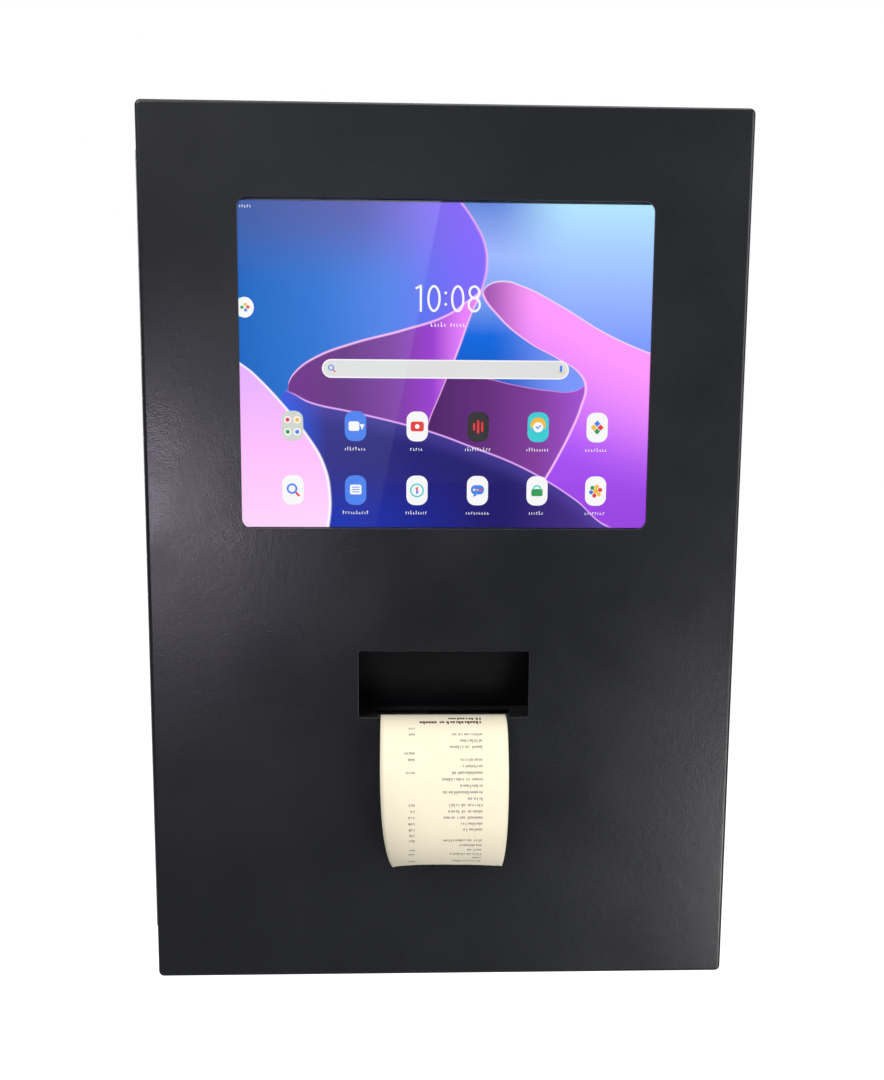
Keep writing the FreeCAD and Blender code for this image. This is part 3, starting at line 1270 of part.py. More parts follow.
def make_power_rocker():
    half_len = 8.6
    reach = 4.6
    rise = half_len * math.tan(math.radians(ROCKER_TILT))
    low = ROCKER_Z - reach
    profile = [(INLET_Y - half_len, low - rise), (INLET_Y, low), (INLET_Y + half_len, low - rise),
               (INLET_Y + half_len, low + 3), (INLET_Y + 2.5, ROCKER_Z + 2.5),
               (INLET_Y - 2.5, ROCKER_Z + 2.5), (INLET_Y - half_len, low + 3)]
    rocker = prism_x(profile, ROCKER_X - 5.4, ROCKER_X + 5.4)
    rocker.rotate(V(ROCKER_X, INLET_Y, ROCKER_Z), X_AXIS, -ROCKER_TILT)
    return rocker


def make_grommet():
    z0 = -HALF_H - 1.5
    z1 = -HALF_H + SHEET + 1.5
    sleeve = rod_z(GROMMET_HOLE_R, GROMMET_X, GROMMET_Y, z0, z1)
    outer = rod_z(GROMMET_HOLE_R + 2.5, GROMMET_X, GROMMET_Y, z0, -HALF_H)
    inner = rod_z(GROMMET_HOLE_R + 2.5, GROMMET_X, GROMMET_Y, -HALF_H + SHEET, z1)
    whole = fused([sleeve, outer, inner])
    return whole.cut(rod_z(GROMMET_BORE_R, GROMMET_X, GROMMET_Y, z0 - 1, z1 + 1))


CHARGER_X0 = 90.0
CHARGER_Z1 = -120.0


def make_charger():
    """Converter with USB sockets that feeds the tablet."""
    body = rounded(CHARGER_X0, CHARGER_X0 + 60, WALL_Y - 24, WALL_Y, CHARGER_Z1 - 34, CHARGER_Z1, 3.0,
                   Y_AXIS)
    cuts = []
    for x in (CHARGER_X0 + 14, CHARGER_X0 + 34):
        cuts.append(block(x - 6.6, x + 6.6, WALL_Y - 18, WALL_Y - 12, CHARGER_Z1 - 9, CHARGER_Z1 + 1))
    return body.cut(cuts)


def make_usb_plugs():
    plugs = []
    for x in (CHARGER_X0 + 14, CHARGER_X0 + 34):
        tongue = block(x - 6, x + 6, WALL_Y - 17.3, WALL_Y - 12.7, CHARGER_Z1 - 8.5, CHARGER_Z1 + 0.5)
        grip = rounded(x - 8, x + 8, WALL_Y - 19.5, WALL_Y - 10.5, CHARGER_Z1 + 0.5, CHARGER_Z1 + 22, 2.0,
                       Z_AXIS)
        plugs.append(fused([tongue, grip]))
    return group(plugs)


def make_earth_stud():
    x, z = 20.0, -255.0
    stud = rod_y(2.5, x, -16, WALL_Y, z)
    nut = hexagon_y(8.0, x, -6, -3, z)
    washer = rod_y(5.0, x, -3, WALL_Y, z)
    return fused([stud, nut, washer])


def make_mains_wires():
    """Live, neutral and earth from the inlet tabs to the first three terminals."""
    z_tab = -HALF_H + INLET_RISE + 8
    wires = []
    for index, x in enumerate((INLET_X - 17, INLET_X - 10, INLET_X - 3)):
        x1 = terminal_x(index) + 0.0
        wires.append(cable([(x, INLET_Y, z_tab), (x, INLET_Y, z_tab + 5),
                            (x1, WALL_Y - 18, SUPPLY_BOTTOM_Z - 8),
                            (x1, WALL_Y - 15, SUPPLY_BOTTOM_Z + 0.5)], 1.1))
    return group(wires)


def make_supply_cable():
    x0 = terminal_x(6)
    return cable([(x0, WALL_Y - 15, SUPPLY_BOTTOM_Z + 0.5), (x0, WALL_Y - 17, SUPPLY_BOTTOM_Z - 14),
                  (x0 + 14, WALL_Y - 11, SUPPLY_BOTTOM_Z - 31), (-34, WALL_Y - 8, -259),
                  (0, WALL_Y - 11, -263), (34, WALL_Y - 8, -260), (62, WALL_Y - 14, -250),
                  (82, -30, -228), (80, -50, -208), (BOARD_X + 7.2, -74, -200),
                  (BOARD_X + 7.2, -74, -180)], 2.2)


def make_printer_data_cable():
    x = CHARGER_X0 + 14
    return cable([(x, WALL_Y - 15, CHARGER_Z1 + 22), (x, WALL_Y - 15, CHARGER_Z1 + 40),
                  (x - 16, WALL_Y - 24, CHARGER_Z1 + 56), (x - 28, -50, CHARGER_Z1 + 46),
                  (BOARD_X + 14, -68, CHARGER_Z1 + 24), (BOARD_X + 4.6, -73, CHARGER_Z1 + 6),
                  (BOARD_X + 4.6, -73, CHARGER_Z1 - 13)], 2.0)


def make_tablet_cable():
    x = CHARGER_X0 + 34
    y_plug = TABLET_FRONT_Y + GLASS_DEPTH + 2.9
    x_plug = TABLET_WIDTH / 2 + 17
    return cable([(x, WALL_Y - 15, CHARGER_Z1 + 22), (x, WALL_Y - 15, CHARGER_Z1 + 40),
                  (x + 20, WALL_Y - 11, CHARGER_Z1 + 76), (x + 36, WALL_Y - 8, -8),
                  (x + 38, WALL_Y - 10, 30), (x + 36, WALL_Y - 30, 62), (x + 40, -62, 78),
                  (x + 42, -90, 92), (x_plug + 9, y_plug + 5, 106), (x_plug + 7, y_plug, TABLET_Z),
                  (x_plug, y_plug, TABLET_Z)], 1.8)


def make_cable_saddles():
    """Stick-on saddles that hold the low-voltage and tablet cables to the back wall."""
    saddles = []
    for x, z in ((-34, -259.5), (34, -259.5)):
        base = block(x - 5, x + 5, WALL_Y - 13.5, WALL_Y, z - 6.5, z + 6.5)
        saddles.append(base.cut(block(x - 6, x + 6, WALL_Y - 12, WALL_Y - 2, z - 4.5, z + 4.5)))
    x, z = CHARGER_X0 + 71, 11
    base = block(x - 6.5, x + 6.5, WALL_Y - 13.5, WALL_Y, z - 5, z + 5)
    saddles.append(base.cut(block(x - 4.5, x + 4.5, WALL_Y - 12, WALL_Y - 2, z - 6, z + 6)))
    return group(saddles)


def make_fasteners():
    """Screws, the lock's nut and the earth stud: one group of separate steel solids."""
    screws = [make_clip_screws(), make_post_screws(), make_shelf_screws(), make_lock_nut()]
    return group(screws + [make_earth_stud()])


def make_hinge_box_leaf():
    pin = rod_z(HINGE_PIN_R, HINGE_X, HINGE_Y, -HINGE_LENGTH / 2, HINGE_LENGTH / 2)
    return group([make_leaf(0, True), pin, make_rivets(True)])


def make_printer_chassis():
    """Frame with its spring bar, paper guide and board spacers welded in."""
    welded = [make_spring_bar(), make_paper_guide()] + make_board_spacers().Solids
    return fused([make_printer_frame()] + welded)


NODES = {
    "back_box": make_back_box,
    "door_seal": make_door_seal,
    "front_panel": make_front_panel,
    "window_gasket": make_window_gasket,
    "receipt_pocket": make_receipt_pocket,
    "receipt": make_receipt,
    "lock_keeper": make_lock_keeper,
    "hinge_box_leaf": make_hinge_box_leaf,
    "hinge_door_leaf": lambda: group([make_leaf(1, False), make_rivets(False)]),
    "fasteners": make_fasteners,
    "lock_barrel": make_lock_barrel,
    "lock_plug": make_lock_plug,
    "lock_cam": make_lock_cam,
    "tablet_shell": make_tablet_shell,
    "tablet_glass": make_tablet_glass,
    "tablet_display": make_tablet_display,
    "tablet_electronics": lambda: group([make_tablet_battery(), make_tablet_board()]),
    "tablet_power_button": lambda: make_tablet_button("power"),
    "tablet_volume_rocker": lambda: make_tablet_button("volume"),
    "carrier_plate": make_carrier_plate,
    "carrier_posts": make_posts,
    "tablet_pads": make_tablet_pads,
    "tablet_clips": make_clips,
    "printer_frame": make_printer_chassis,
    "printer_shelf": make_printer_shelf,
    "head_springs": make_head_springs,
    "thermal_head": lambda: group([make_thermal_head(), make_head_shaft()]),
    "heat_sink": make_heat_sink,
    "head_lever": make_head_lever,
    "platen_roller": make_platen_roller,
    "platen_shaft": make_platen_shaft,
    "platen_gear": make_platen_gear,
    "gear_bearings": lambda: group([make_platen_bushes(), make_idler_stud()]),
    "idler_gear": make_idler_gear,
    "feed_pinion": make_feed_pinion,
    "feed_motor": make_feed_motor,
    "paper_web": make_paper_web,
    "cutter_frame": lambda: group([make_cutter_frame(), make_fixed_blade()]),
    "cutter_blade": make_cutter_blade,
    "cutter_pinion": make_cutter_pinion,
    "cutter_motor": make_cutter_motor,
    "printer_board": make_printer_board,
    "feed_button": make_feed_button,
    "roll_holder": lambda: group([make_roll_brackets(), make_roll_spindle()]),
    "roll_core": make_roll_core,
    "paper_roll": make_paper_roll,
    "supply_case": make_supply_case,
    "supply_cover": make_supply_cover,
    "supply_board": lambda: group([make_supply_board(), make_terminal_block()]),
    "mains_inlet": make_mains_inlet,
    "inlet_pins": make_inlet_pins,
    "power_rocker": make_power_rocker,
    "grommet": make_grommet,
    "charger": make_charger,
    "cable_plugs": lambda: group([make_usb_plugs(), make_tablet_plug()]),
    "mains_wires": make_mains_wires,
    "supply_cable": make_supply_cable,
    "printer_data_cable": make_printer_data_cable,
    "tablet_cable": make_tablet_cable,
    "cable_saddles": make_cable_saddles,
}

os.makedirs("parts", exist_ok=True)
for node, make in NODES.items():
    shape = make()
    solids = shape.Solids
    volume = sum(solid.Volume for solid in solids)
    print(node, "solids", len(solids), "volume", round(volume, 1), "valid", shape.isValid())
    shape.exportStep("parts/" + node + ".step")
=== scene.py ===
import bpy
import bmesh
import math
import random
from mathutils import Matrix, Vector


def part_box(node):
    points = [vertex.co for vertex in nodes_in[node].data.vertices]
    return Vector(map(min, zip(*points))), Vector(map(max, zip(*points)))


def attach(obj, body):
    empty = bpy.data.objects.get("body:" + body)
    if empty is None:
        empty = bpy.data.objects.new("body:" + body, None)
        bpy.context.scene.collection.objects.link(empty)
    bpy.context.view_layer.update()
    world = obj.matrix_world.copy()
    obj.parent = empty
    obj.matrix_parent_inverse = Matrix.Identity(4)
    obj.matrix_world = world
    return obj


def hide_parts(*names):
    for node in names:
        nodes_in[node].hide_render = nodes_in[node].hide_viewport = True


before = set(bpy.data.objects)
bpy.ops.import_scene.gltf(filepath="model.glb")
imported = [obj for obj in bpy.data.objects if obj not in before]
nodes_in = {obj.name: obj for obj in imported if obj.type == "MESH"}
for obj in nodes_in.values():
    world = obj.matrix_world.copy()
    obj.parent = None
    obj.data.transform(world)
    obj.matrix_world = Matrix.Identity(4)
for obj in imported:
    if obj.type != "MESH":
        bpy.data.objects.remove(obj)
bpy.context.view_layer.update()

MM = 0.001
scene = bpy.context.scene
scene.view_settings.view_transform = "Standard"


# ------------------------------------------------------------------ camera
# The camera stands a little left of the middle and above it, and looks slightly down.
CAMERA_PLACE = Vector((-24.6, -796.3, 102.6)) * MM
CAMERA_YAW = math.radians(1.931)
CAMERA_PITCH = math.radians(-7.505)
CAMERA_ROLL = math.radians(0.399)
CAMERA_LENS = 36.464


def make_camera():
    data = bpy.data.cameras.new("camera")
    data.lens = CAMERA_LENS
    data.sensor_width = 36.0
    data.sensor_fit = "AUTO"
    data.clip_start = 0.01
    camera = bpy.data.objects.new("camera", data)
    scene.collection.objects.link(camera)
    turn = Matrix.Rotation(-CAMERA_YAW, 4, "Z") @ Matrix.Rotation(math.pi / 2 + CAMERA_PITCH, 4, "X")
    turn = turn @ Matrix.Rotation(CAMERA_ROLL, 4, "Z")
    camera.matrix_world = Matrix.Translation(CAMERA_PLACE) @ turn
    scene.camera = camera


# ------------------------------------------------------------------ node helpers
def tree_of(owner):
    """The node tree of a material or of the world."""
    owner.use_nodes = True
    return owner.node_tree


def add(tree, kind, **values):
    node = tree.nodes.new(kind)
    for name, value in values.items():
        setattr(node, name, value)
    return node


def set_inputs(node, **values):
    for name, value in values.items():
        node.inputs[name.replace("_", " ")].default_value = value
    return node


def math_node(tree, operation, first, second=None, clamp=False):
    node = add(tree, "ShaderNodeMath", operation=operation, use_clamp=clamp)
    for index, value in enumerate((first, second)):
        if value is None:
            continue
        if isinstance(value, (int, float)):
            node.inputs[index].default_value = value
        else:
            tree.links.new(value, node.inputs[index])
    return node.outputs[0]


def mix_colour(tree, factor, first, second, blend="MIX"):
    node = add(tree, "ShaderNodeMix", data_type="RGBA", blend_type=blend)
    for socket, value in ((node.inputs[0], factor), (node.inputs[6], first), (node.inputs[7], second)):
        if isinstance(value, (int, float)):
            socket.default_value = value
        elif isinstance(value, tuple):
            socket.default_value = (*value, 1)
        else:
            tree.links.new(value, socket)
    return node.outputs[2]


def ramp(tree, factor, stops):
    node = add(tree, "ShaderNodeValToRGB")
    elements = node.color_ramp.elements
    while len(elements) < len(stops):
        elements.new(0.5)
    for element, (place, colour) in zip(elements, stops):
        element.position = place
        element.color = (*colour, 1) if len(colour) == 3 else colour
    tree.links.new(factor, node.inputs[0])
    return node.outputs[0]


def map_range(tree, value, low, high, to_low, to_high, smooth=False):
    node = add(tree, "ShaderNodeMapRange")
    node.interpolation_type = "SMOOTHSTEP" if smooth else "LINEAR"
    tree.links.new(value, node.inputs["Value"])
    node.inputs["From Min"].default_value = low
    node.inputs["From Max"].default_value = high
    node.inputs["To Min"].default_value = to_low
    node.inputs["To Max"].default_value = to_high
    return node.outputs["Result"]


def noise(tree, coordinates, scale, detail=2.0, roughness=0.5):
    node = add(tree, "ShaderNodeTexNoise")
    set_inputs(node, Scale=scale, Detail=detail, Roughness=roughness)
    tree.links.new(coordinates, node.inputs["Vector"])
    return node.outputs["Fac"]


def object_coordinates(tree, stretch=None):
    node = add(tree, "ShaderNodeTexCoord")
    if stretch is None:
        return node.outputs["Object"]
    mapping = add(tree, "ShaderNodeMapping")
    mapping.inputs["Scale"].default_value = stretch
    tree.links.new(node.outputs["Object"], mapping.inputs["Vector"])
    return mapping.outputs["Vector"]


def new_group(name, inputs, outputs):
    group = bpy.data.node_groups.new(name, "ShaderNodeTree")
    for label, kind, value in inputs:
        socket = group.interface.new_socket(label, in_out="INPUT", socket_type=kind)
        if value is not None:
            socket.default_value = value
    for label, kind in outputs:
        group.interface.new_socket(label, in_out="OUTPUT", socket_type=kind)
    start = group.nodes.new("NodeGroupInput")
    end = group.nodes.new("NodeGroupOutput")
    return group, start, end


def place_group(tree, group, **values):
    node = tree.nodes.new("ShaderNodeGroup")
    node.node_tree = group
    for name, value in values.items():
        node.inputs[name.replace("_", " ")].default_value = value
    return node


# ------------------------------------------------------------------ stage and light
WORLD_LOW = 0.12
WORLD_HIGH = 0.42
FLOOR_Z = -1.05
FLOOR_REACH = 14.0
SOFTBOX_Y = -2.5
SOFTBOX_Z = (-0.40, 0.675)
SOFTBOX_LEFT = -0.62
SOFTBOX_RIGHT = (-0.135, 0.080)


def stage_sheet(name, place, material):
    """A flat sheet; place takes -1 or 1 across and up to a corner."""
    mesh = bpy.data.meshes.new(name)
    bm = bmesh.new()
    bmesh.ops.create_grid(bm, x_segments=1, y_segments=1, size=1.0)
    for vert in bm.verts:
        vert.co = place(vert.co.x, vert.co.y)
    bm.to_mesh(mesh)
    bm.free()
    sheet = bpy.data.objects.new(name, mesh)
    mesh.materials.append(material)
    scene.collection.objects.link(sheet)
    return sheet


def make_floor():
    """A pale floor, as bright as the room behind it."""
    material = bpy.data.materials.new("pale_floor")
    tree = tree_of(material)
    shader = tree.nodes["Principled BSDF"]
    shader.inputs["Base Color"].default_value = (0.24, 0.24, 0.24, 1)
    shader.inputs["Roughness"].default_value = 0.9
    shader.inputs["Emission Color"].default_value = (1, 1, 1, 1)
    path = tree.nodes.new("ShaderNodeLightPath")
    tree.links.new(path.outputs["Is Camera Ray"], shader.inputs["Emission Strength"])
    stage_sheet("floor", lambda across, up: (across * FLOOR_REACH, up * FLOOR_REACH, FLOOR_Z), material)


def make_softbox():
    """A tall bright sheet in front, on the left, whose slanted right edge shows in the glass."""
    material = bpy.data.materials.new("softbox_cloth")
    tree = tree_of(material)
    tree.nodes.clear()
    out = tree.nodes.new("ShaderNodeOutputMaterial")
    glow = tree.nodes.new("ShaderNodeEmission")
    glow.inputs["Color"].default_value = (0.85, 0.93, 1.0, 1)
    place = tree.nodes.new("ShaderNodeTexCoord")
    parts = tree.nodes.new("ShaderNodeSeparateXYZ")
    tree.links.new(place.outputs["Object"], parts.inputs[0])
    rise = map_range(tree, parts.outputs["Z"], -0.35, 0.62, 0.28, 2.2)
    side = map_range(tree, parts.outputs["X"], -0.55, 0.05, 0.12, 1.0)
    tree.links.new(math_node(tree, "MULTIPLY", rise, side), glow.inputs["Strength"])
    tree.links.new(glow.outputs["Emission"], out.inputs["Surface"])

    def corner(across, up):
        high = up > 0
        return SOFTBOX_RIGHT[high] if across > 0 else SOFTBOX_LEFT, SOFTBOX_Y, SOFTBOX_Z[high]

    sheet = stage_sheet("softbox", corner, material)
    sheet.visible_camera = False


def make_world():
    world = bpy.data.worlds.new("pale_room")
    scene.world = world
    tree = tree_of(world)
    tree.nodes.clear()
    out = tree.nodes.new("ShaderNodeOutputWorld")
    seen = tree.nodes.new("ShaderNodeBackground")
    seen.inputs["Color"].default_value = (1, 1, 1, 1)
    seen.inputs["Strength"].default_value = 1.0
    light = tree.nodes.new("ShaderNodeBackground")
    light.inputs["Color"].default_value = (0.93, 0.95, 1.0, 1)
    aim = tree.nodes.new("ShaderNodeTexCoord")
    parts = tree.nodes.new("ShaderNodeSeparateXYZ")
    tree.links.new(aim.outputs["Generated"], parts.inputs[0])
    sky = map_range(tree, parts.outputs["Z"], -0.5, 0.6, WORLD_LOW, WORLD_HIGH)
    tree.links.new(sky, light.inputs["Strength"])
    path = tree.nodes.new("ShaderNodeLightPath")
    mix = tree.nodes.new("ShaderNodeMixShader")
    tree.links.new(path.outputs["Is Camera Ray"], mix.inputs["Fac"])
    tree.links.new(light.outputs["Background"], mix.inputs[1])
    tree.links.new(seen.outputs["Background"], mix.inputs[2])
    tree.links.new(mix.outputs["Shader"], out.inputs["Surface"])


def soft_light(name, place, target, width, height, power, colour):
    data = bpy.data.lights.new(name, "AREA")
    data.shape = "RECTANGLE"
    data.size = width
    data.size_y = height
    data.energy = power
    data.color = colour
    light = bpy.data.objects.new(name, data)
    scene.collection.objects.link(light)
    light.location = place
    aim = Vector(target) - Vector(place)
    light.rotation_euler = aim.to_track_quat("-Z", "Y").to_euler()
    light.visible_camera = False


# Name, place, what it points at, width, height, watts and colour of each soft light.
WHITE_LIGHT = (1.0, 1.0, 1.0)
LIGHTS = (
    ("key", (-1.6, -1.9, 1.9), (0, -0.1, 0), 1.4, 1.4, 46, WHITE_LIGHT),
    ("fill", (1.9, -1.5, 0.5), (0, -0.1, 0), 1.4, 1.8, 24, WHITE_LIGHT),
    ("top", (0.1, -0.2, 1.9), (0, -0.1, 0), 1.6, 1.0, 14, WHITE_LIGHT),
    ("back", (-0.7, 1.9, 0.9), (0, 0, 0), 1.6, 1.6, 30, WHITE_LIGHT),
    ("low_left", (-0.52, -1.55, -0.12), (-0.15, -0.12, 0.0), 0.20, 0.34, 2.8, (0.93, 0.82, 1.0)),
    ("low_right", (0.95, -1.25, -0.75), (0, -0.14, -0.15), 0.7, 0.5, 9, WHITE_LIGHT),
)


# ------------------------------------------------------------------ shared effects
def make_orange_peel():
    """Height and gloss change of a baked powder coat: fine pebbles and a few larger runs."""
    group, start, end = new_group(
        "orange_peel",
        [("Pebble Scale", "NodeSocketFloat", 900.0), ("Speck Scale", "NodeSocketFloat", 60.0)],
        [("Height", "NodeSocketFloat"), ("Mottle", "NodeSocketFloat")])
    at = object_coordinates(group)
    pebble = add(group, "ShaderNodeTexNoise")
    set_inputs(pebble, Detail=1.5, Roughness=0.45)
    group.links.new(at, pebble.inputs["Vector"])
    group.links.new(start.outputs["Pebble Scale"], pebble.inputs["Scale"])
    coarse = noise(group, at, 240.0, 1.0)
    speck = add(group, "ShaderNodeTexVoronoi")
    group.links.new(at, speck.inputs["Vector"])
    group.links.new(start.outputs["Speck Scale"], speck.inputs["Scale"])
    bump = map_range(group, speck.outputs["Distance"], 0.0, 0.05, 0.8, 0.0, True)
    height = math_node(group, "ADD", pebble.outputs["Fac"], math_node(group, "MULTIPLY", coarse, 0.8))
    height = math_node(group, "ADD", height, bump)
    group.links.new(height, end.inputs["Height"])
    group.links.new(noise(group, at, 14.0, 3.0), end.inputs["Mottle"])
    return group


def make_edge_wear():
    """White along outside edges, broken up by a fine noise."""
    group, start, end = new_group(
        "edge_wear",
        [("Width", "NodeSocketFloat", 0.0008), ("Amount", "NodeSocketFloat", 1.0),
         ("Grain Scale", "NodeSocketFloat", 300.0)],
        [("Mask", "NodeSocketFloat")])
    bevel = add(group, "ShaderNodeBevel", samples=4)
    group.links.new(start.outputs["Width"], bevel.inputs["Radius"])
    geometry = add(group, "ShaderNodeNewGeometry")
    dot = add(group, "ShaderNodeVectorMath", operation="DOT_PRODUCT")
    group.links.new(bevel.outputs["Normal"], dot.inputs[0])
    group.links.new(geometry.outputs["Normal"], dot.inputs[1])
    away = map_range(group, dot.outputs["Value"], 0.995, 0.86, 0.0, 1.0)
    grain = add(group, "ShaderNodeTexNoise")
    grain.inputs["Detail"].default_value = 3.0
    group.links.new(object_coordinates(group), grain.inputs["Vector"])
    group.links.new(start.outputs["Grain Scale"], grain.inputs["Scale"])
    broken = map_range(group, grain.outputs["Fac"], 0.35, 0.65, 0.25, 1.0)
    mask = math_node(group, "MULTIPLY", away, broken)
    mask = math_node(group, "MULTIPLY", mask, start.outputs["Amount"], True)
    group.links.new(mask, end.inputs["Mask"])
    return group


def make_brushing():
    """Long fine scratches along X, Y or Z for rolled and brushed metal."""
    group, start, end = new_group(
        "brushing",
        [("Stretch", "NodeSocketVector", (20.0, 900.0, 900.0))],
        [("Height", "NodeSocketFloat"), ("Tone", "NodeSocketFloat")])
    coordinates = add(group, "ShaderNodeTexCoord")
    mapping = add(group, "ShaderNodeMapping")
    group.links.new(coordinates.outputs["Object"], mapping.inputs["Vector"])
    group.links.new(start.outputs["Stretch"], mapping.inputs["Scale"])
    lines = noise(group, mapping.outputs["Vector"], 1.0, 4.0, 0.6)
    group.links.new(lines, end.inputs["Height"])
    blotch = noise(group, coordinates.outputs["Object"], 25.0, 3.0)
    tone = math_node(group, "ADD", math_node(group, "MULTIPLY", lines, 0.4),
                     math_node(group, "MULTIPLY", blotch, 0.6))
    group.links.new(tone, end.inputs["Tone"])
    return group


def make_dust():
    """Fine dust on faces that look up."""
    group, start, end = new_group(
        "dust", [("Amount", "NodeSocketFloat", 0.3)], [("Mask", "NodeSocketFloat")])
    geometry = add(group, "ShaderNodeNewGeometry")
    parts = add(group, "ShaderNodeSeparateXYZ")
    group.links.new(geometry.outputs["Normal"], parts.inputs[0])
    up = map_range(group, parts.outputs["Z"], 0.55, 1.0, 0.0, 1.0)
    at = object_coordinates(group)
    cloud = map_range(group, noise(group, at, 30.0, 5.0, 0.65), 0.4, 0.7, 0.2, 1.0)
    mask = math_node(group, "MULTIPLY", math_node(group, "MULTIPLY", up, cloud), start.outputs["Amount"])
    group.links.new(mask, end.inputs["Mask"])
    return group


ORANGE_PEEL = make_orange_peel()
EDGE_WEAR = make_edge_wear()
BRUSHING = make_brushing()
DUST = make_dust()


# ------------------------------------------------------------------ materials
def start_material(name):
    material = bpy.data.materials.new(name)
    tree = tree_of(material)
    return material, tree, tree.nodes["Principled BSDF"]


def bump(tree, shader, height, strength, distance):
    node = add(tree, "ShaderNodeBump")
    node.inputs["Strength"].default_value = strength
    node.inputs["Distance"].default_value = distance
    tree.links.new(height, node.inputs["Height"])
    tree.links.new(node.outputs["Normal"], shader.inputs["Normal"])


def powder_coat(name, dark, light, worn, rough, peel_depth, pebble=900.0, shine=0.5):
    material, tree, shader = start_material(name)
    peel = place_group(tree, ORANGE_PEEL, Pebble_Scale=pebble)
    wear = place_group(tree, EDGE_WEAR, Width=0.0007, Amount=0.55)
    dust = place_group(tree, DUST, Amount=0.10)
    colour = mix_colour(tree, peel.outputs["Mottle"], dark, light)
    colour = mix_colour(tree, wear.outputs["Mask"], colour, worn)
    colour = mix_colour(tree, dust.outputs["Mask"], colour, (0.22, 0.21, 0.20))
    tree.links.new(colour, shader.inputs["Base Color"])
    gloss = map_range(tree, peel.outputs["Mottle"], 0.3, 0.7, rough - 0.05, rough + 0.05)
    tree.links.new(gloss, shader.inputs["Roughness"])
    shader.inputs["Specular IOR Level"].default_value = shine
    bump(tree, shader, peel.outputs["Height"], 0.35, peel_depth)
    return material


def metal(name, colour, rough, stretch=(20.0, 900.0, 900.0), scratch=0.12, wear_colour=None):
    material, tree, shader = start_material(name)
    brush = place_group(tree, BRUSHING, Stretch=stretch)
    wear = place_group(tree, EDGE_WEAR, Width=0.0004, Amount=0.6)
    low = tuple(value * 0.80 for value in colour)
    tone = mix_colour(tree, brush.outputs["Tone"], low, colour)
    bright = wear_colour or tuple(min(1.0, value * 1.25) for value in colour)
    tone = mix_colour(tree, wear.outputs["Mask"], tone, bright)
    tree.links.new(tone, shader.inputs["Base Color"])
    shader.inputs["Metallic"].default_value = 1.0
    gloss = map_range(tree, brush.outputs["Tone"], 0.3, 0.7, rough - 0.07, rough + 0.10)
    tree.links.new(gloss, shader.inputs["Roughness"])
    bump(tree, shader, brush.outputs["Height"], scratch, 0.00005)
    return material


def zinc(name):
    """Galvanised sheet: large pale crystals with different greys."""
    material, tree, shader = start_material(name)
    at = object_coordinates(tree)
    cells = add(tree, "ShaderNodeTexVoronoi")
    cells.inputs["Scale"].default_value = 160.0
    tree.links.new(at, cells.inputs["Vector"])
    grey = add(tree, "ShaderNodeSeparateColor")
    tree.links.new(cells.outputs["Color"], grey.inputs[0])
    tone = ramp(tree, grey.outputs[0], [(0.0, (0.42, 0.43, 0.44)), (1.0, (0.62, 0.63, 0.63))])
    wear = place_group(tree, EDGE_WEAR, Width=0.0004, Amount=0.5)
    tone = mix_colour(tree, wear.outputs["Mask"], tone, (0.75, 0.75, 0.75))
    tree.links.new(tone, shader.inputs["Base Color"])
    shader.inputs["Metallic"].default_value = 1.0
    gloss = map_range(tree, grey.outputs[1], 0.0, 1.0, 0.34, 0.52)
    tree.links.new(gloss, shader.inputs["Roughness"])
    bump(tree, shader, noise(tree, at, 700.0, 2.0), 0.08, 0.00005)
    return material


def plastic(name, colour, rough, grain=700.0, depth=0.00004, speckle=0.15):
    material, tree, shader = start_material(name)
    at = object_coordinates(tree)
    cloud = noise(tree, at, 60.0, 3.0)
    dark = tuple(value * (1 - speckle) for value in colour)
    wear = place_group(tree, EDGE_WEAR, Width=0.0004, Amount=0.35)
    dust = place_group(tree, DUST, Amount=0.12)
    bright = tuple(min(1.0, value * 1.3 + 0.02) for value in colour)
    tone = mix_colour(tree, cloud, dark, colour)
    tone = mix_colour(tree, wear.outputs["Mask"], tone, bright)
    tone = mix_colour(tree, dust.outputs["Mask"], tone, (0.30, 0.29, 0.27))
    tree.links.new(tone, shader.inputs["Base Color"])
    gloss = map_range(tree, cloud, 0.3, 0.7, rough - 0.04, rough + 0.06)
    tree.links.new(gloss, shader.inputs["Roughness"])
    bump(tree, shader, noise(tree, at, grain, 2.0), 0.25, depth)
    return material


def foam(name):
    material, tree, shader = start_material(name)
    at = object_coordinates(tree)
    cells = add(tree, "ShaderNodeTexVoronoi")
    cells.inputs["Scale"].default_value = 1400.0
    tree.links.new(at, cells.inputs["Vector"])
    tone = ramp(tree, cells.outputs["Distance"], [(0.0, (0.012, 0.012, 0.013)), (1.0, (0.05, 0.05, 0.052))])
    tree.links.new(tone, shader.inputs["Base Color"])
    shader.inputs["Roughness"].default_value = 0.95
    bump(tree, shader, cells.outputs["Distance"], 0.6, 0.0002)
    return material


def paper(name, colour, fibre_depth=0.00003):
    """Thermal paper: smooth, faintly mottled, lets a little light through."""
    material, tree, shader = start_material(name)
    at = object_coordinates(tree)
    cloud = noise(tree, at, 90.0, 4.0, 0.6)
    fibre = noise(tree, object_coordinates(tree, (500.0, 500.0, 1800.0)), 1.0, 3.0)
    low = (colour[0] * 0.95, colour[1] * 0.94, colour[2] * 0.90)
    tone = mix_colour(tree, cloud, low, colour)
    tree.links.new(tone, shader.inputs["Base Color"])
    shader.inputs["Roughness"].default_value = 0.55
    shader.inputs["Sheen Weight"].default_value = 0.15
    shader.inputs["Subsurface Weight"].default_value = 0.08
    shader.inputs["Subsurface Radius"].default_value = (0.002, 0.002, 0.0015)
    bump(tree, shader, fibre, 0.15, fibre_depth)
    return material


